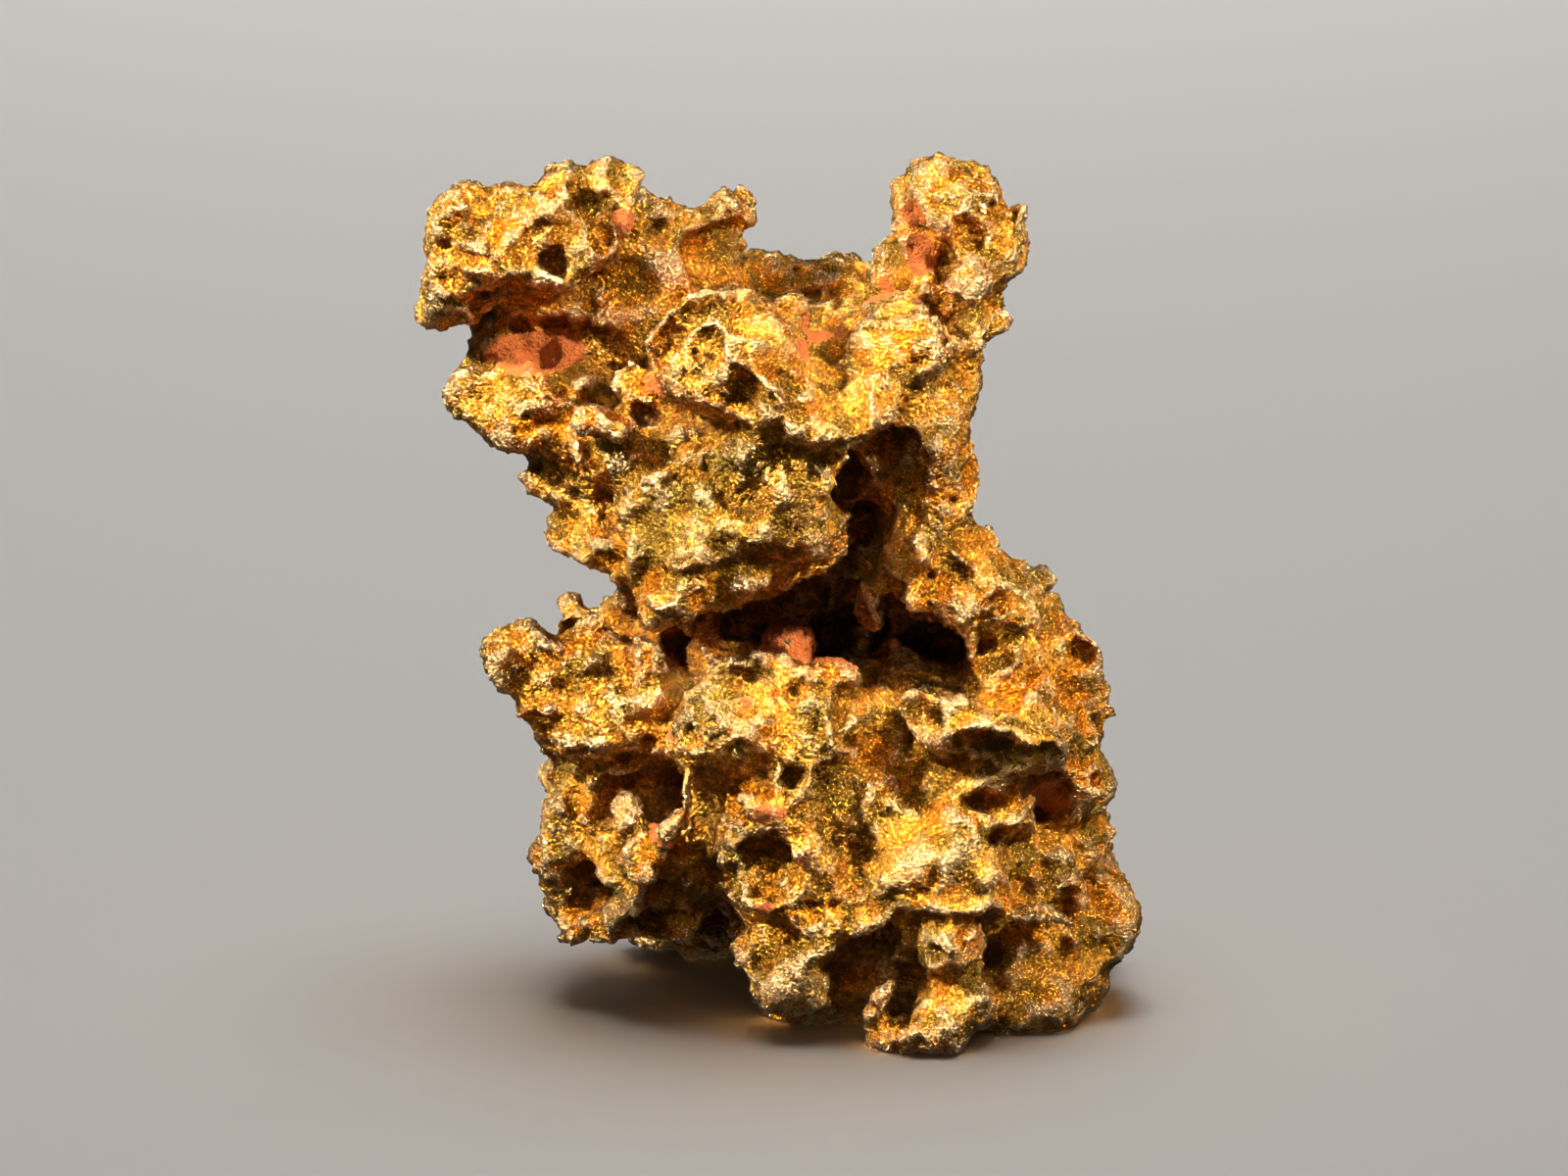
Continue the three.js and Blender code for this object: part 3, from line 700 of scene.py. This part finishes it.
    ("edge", -58, 42, -57, 36, 1.7, 3),
    (-40, 44, 8, 4, -4),
    (-14, 32, 2.8, 3.4, 4),
    ("edge", -17, 45, -13, 37, 1.8, 3),
    (-6, 33, 4, 5, -4),
    # right shoulder
    ("edge", 65, 128, 65, 148, 2.2, 4),
    (75, 135, 4.4, 3.4, -7),
    (86, 136, 3.2, 3, -5),
    (82, 144, 5.5, 4, 3),
    (88, 129, 8, 3, -5),
    (106, 141, 3, 3, 3),
    (95, 141, 4, 4, 3.5),
    (72, 126, 4, 3, 3),
]

# The same kind of forms all over the sides, back and top, where nothing is seen: placed by a seeded draw
unseenForms = {
    "seed": 11,
    "count": 330,
    "halfSize": (3.5, 12),  # mm, from the smallest to the largest
    "out": (0.45, 0.8),  # how far they stand out or go in, as a share of the half size
}


def meetFront(tree, x, seen):  # y where the front is met at a place in the view
    start = Vector((x - seat["middle"][0], -200 - seat["middle"][1], trueHeight(seen, -200))) * mm
    hit = tree.ray_cast(start, Vector((0, cosTilt, -sinTilt)))[0]
    return hit.y / mm + seat["middle"][1] if hit else None


def placeFront(tree, row):
    if row[0] == "edge":
        x1, seen1, x2, seen2, halfHeight, out = row[1:]
        y1, y2 = meetFront(tree, x1, seen1), meetFront(tree, x2, seen2)
        if y1 is None and y2 is None:
            print("off the nugget:", row)
            return None
        y1, y2 = (y2 if y1 is None else y1), (y1 if y2 is None else y2)
        return readForm(("ridge", x1, seen1, y1, x2, seen2, y2, halfHeight, abs(out)))
    x, seen, halfWidth, halfHeight, out = row[:5]
    out *= 1 if out > 0 else 0.55 if max(halfWidth, halfHeight) < 7 else 0.8
    y = meetFront(tree, x, seen)
    if y is None:
        print("off the nugget:", row)
        return None
    return readForm(("form", x, seen, y, halfWidth, halfHeight, abs(out)) + tuple(row[5:]))


def placeUnseen(tree, draw, outward):  # a form where a ray from the sides, back or top meets the nugget
    low, high = unseenForms["halfSize"]
    size = low + (high - low) * draw.random() ** 2
    around = math.radians(draw.uniform(35, 325))  # 0 is the front, which has its own forms
    fall = draw.uniform(-0.2, 0.9)
    away = Vector((math.sin(around), -math.cos(around), fall)).normalized()
    target = Vector((draw.uniform(-90, 90), draw.uniform(-50, 60), draw.uniform(10, 290))) * mm
    hit, normal = tree.ray_cast(target + away * 0.5, -away)[:2]
    if hit is None or normal.y < -0.3:
        return None
    if outward and normal.y < 0.25:  # the outline seen from the front stays as it is
        size = low
    spin = normal.to_track_quat("Y", "Z").to_matrix() @ Matrix.Rotation(draw.uniform(0, math.pi), 3, "Y")
    flat = size * draw.uniform(0.5, 1)
    deep = size * draw.uniform(*unseenForms["out"])
    return hit / mm + Vector((*seat["middle"], 0)), spin, (size, deep, flat)


def addDetails(piece):
    tree = BVHTree.FromObject(piece, bpy.context.evaluated_depsgraph_get())
    outward = [placeFront(tree, row) for row in frontForms if (row[6] if row[0] == "edge" else row[4]) > 0]
    inward = [placeFront(tree, row) for row in frontForms if (row[6] if row[0] == "edge" else row[4]) < 0]
    draw = random.Random(unseenForms["seed"])
    for i in range(unseenForms["count"]):
        (outward if i % 2 else inward).append(placeUnseen(tree, draw, i % 2))
    for forms, operation in ((outward, "UNION"), (inward, "DIFFERENCE")):
        join(piece, [form for form in forms if form], operation, nuggetMake["detailGrain"], True)


addDetails(nugget)
remesh(nugget, nuggetMake["grain"] * 1.1)
soften(nugget, 0.5, 1)
print("small forms added:", len(nugget.data.polygons), "faces")


# The relief, from wide swells down to grains: sizes and heights in mm
relief = {
    "swell": (34, 2.4),
    "scoop": (20, 5.0),  # shallow bowls that meet in sharp rims, where quartz has gone
    "crust": (17, 2.0),  # ridges that branch down to a few mm
    "chip": (9, 2.6),  # tilted faces with steps between them, like broken rock
    "smallChip": (3.8, 1.2),
    "knob": (3.4, 1.8),  # beads along the rims
    "pit": (17, 4.5),  # pin holes
    "frontShare": 0.15,  # how much of the wide relief is on the front, which has forms of its own
    "frontCrust": 0.4,  # the same for the crust
    "frontChips": 0.65,  # and for the wide chips
}

# Faces that are smoother than the rest, as x, height seen, y and three half sizes in mm
calmFaces = [
    (-45, 262, 22, 20, 26, 24),
    (5, 26, -40, 14, 12, 18),
    (88, 28, -20, 20, 18, 30),
    (52, 70, -46, 26, 18, 22),
    (-25, 180, -30, 30, 20, 20),
]


def within(points, patches):
    best = np.zeros(len(points))
    for x, seen, y, *half in patches:
        centre = np.array((x - seat["middle"][0], y - seat["middle"][1], trueHeight(seen, y)))
        reach = (points / mm - centre) / (half[0], half[2], half[1])
        best = np.maximum(best, 1 - (reach**2).sum(1) ** 0.5)
    return np.clip(best * 2, 0, 1)


def readPoints(mesh, what="co"):
    values = np.empty(len(mesh.vertices) * 3, np.float32)
    source = mesh.vertices if what == "co" else mesh.vertex_normals
    source.foreach_get("co" if what == "co" else "vector", values)
    return values.reshape(-1, 3).astype(float)


def movePoints(piece, heights):
    mesh = piece.data
    moved = readPoints(mesh) + readPoints(mesh, "normal") * heights[:, None] * mm
    mesh.vertices.foreach_set("co", moved.astype(np.float32).ravel())
    mesh.update()


def patternAt(points, size, kind, warp=0.0):
    scaled = points / (size * mm)
    values = np.empty(len(points))
    for i, p in enumerate(scaled):
        p = Vector(p)
        if warp:
            p += noise.noise_vector(p * 0.7) * warp
        if kind == "cell":
            values[i] = noise.voronoi(p)[0][0]
        elif kind == "chip":
            middle = noise.voronoi(p)[1][0]
            values[i] = (p - middle).dot(noise.noise_vector(middle * 9.7)) * 1.6 + noise.noise(middle * 7.3) * 0.5
        elif kind == "crust":
            values[i] = noise.ridged_multi_fractal(p, 0.75, 2.1, 4, 1.0, 1.8)
        else:
            values[i] = noise.noise(p)
    return values


def behind(points):  # 0 on the front to 1 on the sides and back
    return np.clip(points[:, 1] / (30 * mm) + 0.6, 0, 1)


def broadRelief(piece):
    points = readPoints(piece.data)
    share = relief["frontShare"] + (1 - relief["frontShare"]) * behind(points)
    area = 0.5 + 0.5 * np.clip(patternAt(points, 40, "noise") * 2.2, -1, 1)
    heights = patternAt(points, relief["swell"][0], "noise") * relief["swell"][1]
    scoop = patternAt(points, relief["scoop"][0], "cell", 0.5) - 0.45
    heights += scoop * relief["scoop"][1] * (0.45 + 0.55 * area)
    movePoints(piece, heights * share * (1 - 0.75 * within(points, calmFaces)) - 0.7)


def crustRelief(piece):
    points = readPoints(piece.data)
    share = relief["frontCrust"] + (1 - relief["frontCrust"]) * behind(points)
    share *= 1 - 0.75 * within(points, calmFaces)
    crust = patternAt(points, relief["crust"][0], "crust", 0.35)
    heights = (crust - crust.mean()) * relief["crust"][1] * share
    movePoints(piece, np.clip(heights, -5, 4))


def fineRelief(piece):
    points = readPoints(piece.data)
    rough = 1 - 0.75 * within(points, calmFaces)
    area = np.clip(0.5 + patternAt(points + 0.3, 26, "noise") * 1.6, 0, 1)  # 0 is chipped, 1 is beaded
    share = relief["frontChips"] + (1 - relief["frontChips"]) * behind(points)
    heights = patternAt(points, relief["chip"][0], "chip", 0.3) * relief["chip"][1] * (1 - 0.6 * area) * share
    heights += patternAt(points, relief["smallChip"][0], "chip", 0.3) * relief["smallChip"][1]
    heights += (0.4 - patternAt(points, relief["knob"][0], "cell", 0.3)) * relief["knob"][1] * area
    pit = patternAt(points + 0.1, relief["pit"][0], "cell", 0.8)
    pit = np.clip(0.3 - pit, 0, 0.3) / 0.3 * (area > 0.35) * (0.25 + 0.75 * behind(points))
    heights -= pit * relief["pit"][1]
    movePoints(piece, heights * rough - 0.3)


broadRelief(nugget)
remesh(nugget, nuggetMake["grain"] * 1.2)
crustRelief(nugget)
remesh(nugget, nuggetMake["grain"])
fineRelief(nugget)
print("relief raised")


def groundBlock():
    bm = bmesh.new()
    bmesh.ops.create_cube(bm, size=1)
    bmesh.ops.translate(bm, vec=(0, 0, -0.5), verts=bm.verts)
    mesh = bpy.data.meshes.new("ground")
    bm.to_mesh(mesh)
    bm.free()
    block = bpy.data.objects.new("ground", mesh)
    scene.collection.objects.link(block)
    return block


def dropCrumbs(piece):  # keeps the largest closed surface alone
    mesh = piece.data
    ends = np.empty(len(mesh.edges) * 2, np.int64)
    mesh.edges.foreach_get("vertices", ends)
    a, b = ends.reshape(-1, 2).T
    label = np.arange(len(mesh.vertices))
    while (label[a] != label[b]).any():
        low = np.minimum(label[a], label[b])
        np.minimum.at(label, label[a], low)
        np.minimum.at(label, label[b], low)
        label = label[label]
    whole = np.bincount(label).argmax()
    bm = bmesh.new()
    bm.from_mesh(mesh)
    bmesh.ops.delete(bm, geom=[v for v in bm.verts if label[v.index] != whole], context="VERTS")
    bm.to_mesh(mesh)
    bm.free()


combine(nugget, groundBlock(), "DIFFERENCE")
dropCrumbs(nugget)
thin = nugget.modifiers.new("thin", "DECIMATE")
nugget.data.calc_loop_triangles()
count = len(nugget.data.loop_triangles)
thin.ratio = min(1, nuggetMake["mostTriangles"] / count)
settle(nugget)
nugget.data.polygons.foreach_set("use_smooth", [True] * len(nugget.data.polygons))
nugget.data.calc_loop_triangles()
print("foot cut flat,", count, "triangles thinned to", len(nugget.data.loop_triangles))


def linear(hexColour):
    parts = [int(hexColour[i:i + 2], 16) / 255 for i in (1, 3, 5)]
    return tuple(c / 12.92 if c <= 0.04045 else ((c + 0.055) / 1.055) ** 2.4 for c in parts) + (1,)


def node(material, kind, settings=None, links=None):  # settings go to the node or to its inputs, links to its inputs
    tree = material.node_tree
    made = tree.nodes.new("ShaderNode" + kind)
    for key, value in (settings or {}).items():
        if isinstance(key, str) and hasattr(made, key):
            setattr(made, key, value)
        else:
            made.inputs[key].default_value = value
    for key, source in (links or {}).items():
        tree.links.new(source, made.inputs[key])
    return made


nativeGold = {
    "pale": "#FFBC44",
    "deep": "#DC8818",
    "wornAndHighlight": "#FFDCAA",  # rims that are rubbed bright, lightened further as a painted highlight
    "stain": "#66400F",  # brown film in the hollows and between the grains, which also paints shade there
    "olive": "#86702A",  # patches with some silver in them, also used as painted shade on faces turned from the light
    "grit": 1.5,  # mm
    "bead": 1.15,
    "patch": 11,
    "cloud": 16,
}
ironClay = {
    "light": "#CC6C20",
    "dark": "#84410F",
    "ragged": 3,  # mm, the size of the bits that its edge breaks into
}

# Where clay is left, as x, height seen, y and three half sizes in mm
clayPatches = [
    (-82, 238, 4, 26, 8, 34),
    (-46, 224, -20, 12, 12, 22),
    (-30, 226, -30, 8, 8, 12),
    (-52, 284, 8, 7, 6, 12),
    (-86, 250, -4, 16, 7, 16),
    (46, 288, 22, 7, 9, 16),
    (48, 272, 16, 7, 12, 16),
    (34, 260, 10, 12, 7, 18),
    (14, 249, -2, 14, 8, 16),
    (8, 240, -24, 8, 5, 10),
    (57, 251, -4, 7, 9, 14),
    (72, 150, -6, 7, 7, 16),
    (99, 111, 4, 6, 11, 14),
    (92, 88, -4, 10, 7, 14),
    (-12, 128, -44, 6, 4, 10),
    (-12, 119, -44, 6, 4, 10),
    (-36, 110, -24, 7, 5, 12),
    (-40, 76, -22, 7, 9, 12),
    (-2, 82, -46, 11, 6, 10),
    (-3, 49, -48, 10, 5, 12),
    (20, 140, -8, 34, 10, 26),
    (-28, 138, -12, 13, 9, 22),
    (34, 196, -30, 10, 16, 14),
    (-10, 132, 78, 18, 12, 16),
    (30, 88, 84, 14, 16, 14),
    (-24, 200, 78, 12, 12, 12),
]


# Faces painted darker and olive as shade, where they turn from the light, as x, height seen, y and three half sizes in
# mm
shadedFaces = [
    (-20, 190, -30, 46, 38, 44),
    (-32, 249, -10, 20, 14, 30),
    (18, 106, -44, 18, 30, 26),
    (14, 30, -44, 26, 16, 26),
    (-40, 52, -16, 20, 16, 26),
    (64, 98, -44, 34, 12, 30),
    (72, 36, -30, 14, 16, 24),
]


def smoothOver(piece, values, rounds):
    mesh = piece.data
    ends = np.empty(len(mesh.edges) * 2, np.int64)
    mesh.edges.foreach_get("vertices", ends)
    a, b = ends.reshape(-1, 2).T
    count = len(mesh.vertices)
    near = np.bincount(a, minlength=count) + np.bincount(b, minlength=count)
    for step in range(rounds):
        total = np.bincount(a, values[b], count) + np.bincount(b, values[a], count)
        values = 0.5 * values + 0.5 * total / near
    return values


def hollowness(piece):  # how much of the space in front of each point is closed off
    graph = bpy.context.evaluated_depsgraph_get()
    tree = BVHTree.FromObject(piece, graph)
    rays = 10
    turn = math.pi * (3 - math.sqrt(5))
    closed = np.zeros(len(piece.data.vertices))
    for i, (p, n) in enumerate(zip(readPoints(piece.data), readPoints(piece.data, "normal"))):
        n = Vector(n)
        side = n.orthogonal().normalized()
        over = n.cross(side)
        start = Vector(p) + n * 0.4 * mm
        hits = 0
        for ray in range(rays):
            out = math.sqrt((ray + 0.5) / rays)
            angle = turn * (ray + i)
            way = side * (out * math.cos(angle)) + over * (out * math.sin(angle)) + n * math.sqrt(1 - out * out)
            if tree.ray_cast(start, way, 45 * mm)[0]:
                hits += 1
        closed[i] = hits / rays
    return smoothOver(piece, closed, 3)


def keep(piece, name, values):
    layer = piece.data.attributes.new(name, "FLOAT", "POINT")
    layer.data.foreach_set("value", values.astype(np.float32))


def standing(piece, rounds):  # how far each point stands above (or lies below) the skin around it, in mm
    points = readPoints(piece.data)
    around = np.stack([smoothOver(piece, points[:, axis], rounds) for axis in range(3)], 1)
    return ((points - around) * readPoints(piece.data, "normal")).sum(1) / mm


points = readPoints(nugget.data)
closed = hollowness(nugget)
keep(nugget, "rim", np.clip(standing(nugget, 12) / 1.6, -1, 1))
hand = within(points, clayPatches)
stain = patternAt(points, 17, "noise") + 0.5 * patternAt(points, 6, "noise")
keep(nugget, "hollow", closed)
deepest = np.clip(closed - 0.75, 0, 1) * 1.4
keep(nugget, "clay", np.clip(hand * (0.5 + 0.7 * closed) + deepest + stain * 0.3, 0, 1))
cloud = sum(patternAt(points + 0.5, nativeGold["cloud"] / 2**i, "noise") / 1.6**i for i in range(3))
keep(nugget, "cloud", np.clip(0.5 + 1.3 * cloud, 0, 1))
patch = sum(patternAt(points + 0.7, nativeGold["patch"] / 2**i, "noise") / 1.6**i for i in range(3))
# painted shade: darker olive on the listed faces turned from the light, joined with random olive patches
oliveAndShade = within(points, shadedFaces) * np.clip(0.7 + patternAt(points, 9, "noise") * 0.8, 0, 1)
keep(nugget, "oliveAndShade", np.maximum(oliveAndShade, np.clip(patch * 2.4 + 0.1, 0, 0.85)))
print("hollows, clay and dulled faces found")

def goldMaterial():
    material = bpy.data.materials.new("native gold")
    material.use_nodes = True
    tree = material.node_tree
    shader = tree.nodes["Principled BSDF"]
    rgba = {"data_type": "RGBA"}
    place = node(material, "TexCoord").outputs["Object"]
    hollow = node(material, "Attribute", {"attribute_name": "hollow"}).outputs["Fac"]
    clay = node(material, "Attribute", {"attribute_name": "clay"}).outputs["Fac"]
    rim = node(material, "Attribute", {"attribute_name": "rim"}).outputs["Fac"]
    cloud = node(material, "Attribute", {"attribute_name": "cloud"}).outputs["Fac"]
    oliveAndShade = node(material, "Attribute", {"attribute_name": "oliveAndShade"}).outputs["Fac"]

    # The grains are crooked, so the patterns are read at a place that drifts by under a millimetre
    drift = node(material, "TexNoise", {"Scale": 1 / (1.8 * mm), "Detail": 1.0}, {"Vector": place}).outputs["Color"]
    reach = {"operation": "MULTIPLY_ADD", 1: (1.6 * mm,) * 3, 2: (-0.8 * mm,) * 3}
    drift = node(material, "VectorMath", reach, {0: drift}).outputs[0]
    crooked = node(material, "VectorMath", {"operation": "ADD"}, {0: place, 1: drift}).outputs[0]
    beads = {"Scale": 1 / (nativeGold["bead"] * mm)}
    bead = node(material, "TexVoronoi", beads, {"Vector": crooked}).outputs["Distance"]
    grits = {"Scale": 1 / (nativeGold["grit"] * mm), "Detail": 4.0, "Roughness": 0.72}
    grit = node(material, "TexNoise", grits, {"Vector": crooked}).outputs[0]
    bits = {"Scale": 1 / (ironClay["ragged"] * mm), "Detail": 3.0, "Roughness": 0.65}
    bit = node(material, "TexNoise", bits, {"Vector": place}).outputs[0]

    # Where the clay is, with an edge of ragged bits
    ragged = node(material, "Math", {"operation": "MULTIPLY_ADD", 1: 0.9, 2: -0.45}, {0: bit}).outputs[0]
    ragged = node(material, "Math", {"operation": "ADD"}, {0: clay, 1: ragged}).outputs[0]
    edge = {"interpolation_type": "SMOOTHSTEP", "From Min": 0.36, "From Max": 0.5}
    mask = node(material, "MapRange", edge, {"Value": ragged}).outputs[0]

    # The gold's colour: pale and deep clouds, olive patches and painted shade on the listed faces, and rims made
    # lighter by rubbing and by a painted highlight
    ends = {"data_type": "RGBA", 6: linear(nativeGold["deep"]), 7: linear(nativeGold["pale"])}
    tone = node(material, "Mix", ends, {0: cloud}).outputs[2]
    olive = {"data_type": "RGBA", 7: linear(nativeGold["olive"])}
    tone = node(material, "Mix", olive, {0: oliveAndShade, 6: tone}).outputs[2]
    # rims that stand proud: lighter from rubbed wear and from a painted highlight
    rubAndHighlight = node(material, "MapRange", {"From Min": 0.1, "From Max": 0.8, "To Max": 0.7}, {"Value": rim}).outputs[0]
    wornAndHighlight = {"data_type": "RGBA", 7: linear(nativeGold["wornAndHighlight"])}
    tone = node(material, "Mix", wornAndHighlight, {0: rubAndHighlight, 6: tone}).outputs[2]

    # Brown film and painted shade: darker between the grains, in the hollows and on all that lies low
    # the low parts of the grit, where brown film lies and shade is painted
    low = node(material, "MapRange", {"From Min": 0.5, "From Max": 0.36, "To Max": 0.8}, {"Value": grit}).outputs[0]
    hollowShade = node(material, "MapRange", {"From Min": 0.4, "From Max": 0.95, "To Max": 0.7}, {"Value": hollow}).outputs[0]
    sunkShade = node(material, "MapRange", {"From Min": 0.05, "From Max": -0.8, "To Max": 0.45}, {"Value": rim}).outputs[0]
    stainAndShade = node(material, "Math", {"operation": "ADD"}, {0: hollowShade, 1: sunkShade}).outputs[0]
    stainAndShade = node(material, "Math", {"operation": "ADD", "use_clamp": True}, {0: stainAndShade, 1: low}).outputs[0]
    stain = {"data_type": "RGBA", 7: linear(nativeGold["stain"])}
    gold = node(material, "Mix", stain, {0: stainAndShade, 6: tone}).outputs[2]
    clays = {"data_type": "RGBA", 6: linear(ironClay["dark"]), 7: linear(ironClay["light"])}
    earth = node(material, "Mix", clays, {0: bit}).outputs[2]
    colour = node(material, "Mix", rgba, {0: mask, 6: gold, 7: earth}).outputs[2]
    tree.links.new(colour, shader.inputs["Base Color"])

    # Clay and the thick film of the deepest hollows are not metal, and are dull
    thick = node(material, "MapRange", {"From Min": 0.5, "From Max": 0.95, "To Max": 0.4}, {"Value": hollow}).outputs[0]
    cover = node(material, "Math", {"operation": "MAXIMUM"}, {0: thick, 1: mask}).outputs[0]
    metal = node(material, "MapRange", {"To Min": 1.0, "To Max": 0.0}, {"Value": cover}).outputs[0]
    tree.links.new(metal, shader.inputs["Metallic"])
    gloss = {"From Min": 0.3, "From Max": 0.7, "To Min": 0.32, "To Max": 0.18}
    shine = node(material, "MapRange", gloss, {"Value": grit}).outputs[0]
    dull = node(material, "Mix", {"data_type": "FLOAT", 3: 0.8}, {0: cover, 2: shine}).outputs[0]
    tree.links.new(dull, shader.inputs["Roughness"])

    # Beads and grit, as one height in mm
    height = node(material, "Math", {"operation": "MULTIPLY", 1: -0.7}, {0: bead}).outputs[0]
    height = node(material, "Math", {"operation": "MULTIPLY_ADD", 1: 1.1}, {0: grit, 2: height}).outputs[0]
    skin = node(material, "Bump", {"Strength": 1.0, "Distance": mm}, {"Height": height}).outputs[0]
    tree.links.new(skin, shader.inputs["Normal"])
    return material


nugget.data.materials.clear()
nugget.data.materials.append(goldMaterial())
nugget.name = "nugget_skin"
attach(nugget, "root")
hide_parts("gold_nugget")
print("gold laid on")


studio = {
    "floor": "#D9D6D0",
    "world": "#9A9590",
    "worldStrength": 0.26,
    "frameWidth": 533.3,  # mm across the frame at the nugget's near side
    "nearSide": 60,  # mm from the middle of the nugget to that plane, towards the camera
    "aimHeight": 140.3,  # mm above the ground, up the tilted view
    "distance": 5000,  # mm from the camera to the middle
}


def makeFloor():
    bm = bmesh.new()
    bmesh.ops.create_grid(bm, x_segments=1, y_segments=1, size=8)
    mesh = bpy.data.meshes.new("floor")
    bm.to_mesh(mesh)
    bm.free()
    floor = bpy.data.objects.new("floor", mesh)
    scene.collection.objects.link(floor)
    material = bpy.data.materials.new("matt paper floor")
    material.use_nodes = True
    material.node_tree.nodes["Principled BSDF"].inputs["Base Color"].default_value = linear(studio["floor"])
    material.node_tree.nodes["Principled BSDF"].inputs["Roughness"].default_value = 0.9
    mesh.materials.append(material)
    floor.visible_glossy = False  # the gold mirrors the dim room, as it would over dark cloth
    return floor


# Place and aim in metres, power in watts, size in metres, colour, and how wide the light spreads in degrees
beams = {  # these fall on the nugget alone
    "key": ((-1.5, -0.5, 1.35), (0, 0, 0.15), 2.4, 0.18, "#FFF1DC", 18),
    "second": ((1.45, -0.6, 1.4), (0, 0, 0.14), 1.6, 0.18, "#FFEFD8", 18),
    "front": ((-0.2, -1.5, 1.6), (0, 0, 0.15), 0.16, 0.2, "#FFF3E0", 18),
}
floorLights = {  # and these on the floor alone
    "wash": ((0, 0.6, 3), (0, 0.6, 0), 45, 2, "#FFFFFF", 180),
}
softLights = {
    "over": ((0, -0.1, 2.4), (0, -0.1, 0), 24, 1.2, "#FFFFFF", 180),
    "back floor": ((0, 2.6, 2.0), (0, 2.4, 0), 14, 1.5, "#FFFFFF", 90),
}


def makeLight(name, place, aim, power, size, colour, spread):
    data = bpy.data.lights.new(name, "AREA")
    data.energy = power
    data.size = size
    data.color = linear(colour)[:3]
    data.spread = math.radians(spread)
    lamp = bpy.data.objects.new(name, data)
    lamp.location = place
    lamp.rotation_euler = (Vector(aim) - Vector(place)).to_track_quat("-Z", "Y").to_euler()
    scene.collection.objects.link(lamp)
    return lamp


def makeCamera():
    data = bpy.data.cameras.new("camera")
    data.sensor_width = 36
    data.lens = 36 * (studio["distance"] - studio["nearSide"]) / studio["frameWidth"]
    camera = bpy.data.objects.new("camera", data)
    aim = Vector((0, sinTilt, cosTilt)) * studio["aimHeight"] * mm
    camera.location = aim + Vector((0, -cosTilt, sinTilt)) * studio["distance"] * mm
    camera.rotation_euler = (math.pi / 2 - seat["viewTilt"], 0, 0)
    scene.collection.objects.link(camera)
    scene.camera = camera


for lights, lit in ((beams, nugget), (floorLights, makeFloor())):
    only = bpy.data.collections.new("lit alone: " + lit.name)
    only.objects.link(lit)
    for name, values in lights.items():
        makeLight(name, *values).light_linking.receiver_collection = only
for name, values in softLights.items():
    makeLight(name, *values)
makeCamera()
world = bpy.data.worlds.new("studio")
world.use_nodes = True
world.node_tree.nodes["Background"].inputs["Color"].default_value = linear(studio["world"])
world.node_tree.nodes["Background"].inputs["Strength"].default_value = studio["worldStrength"]
scene.world = world
scene.view_settings.view_transform = "Standard"
scene.view_settings.exposure = -0.5
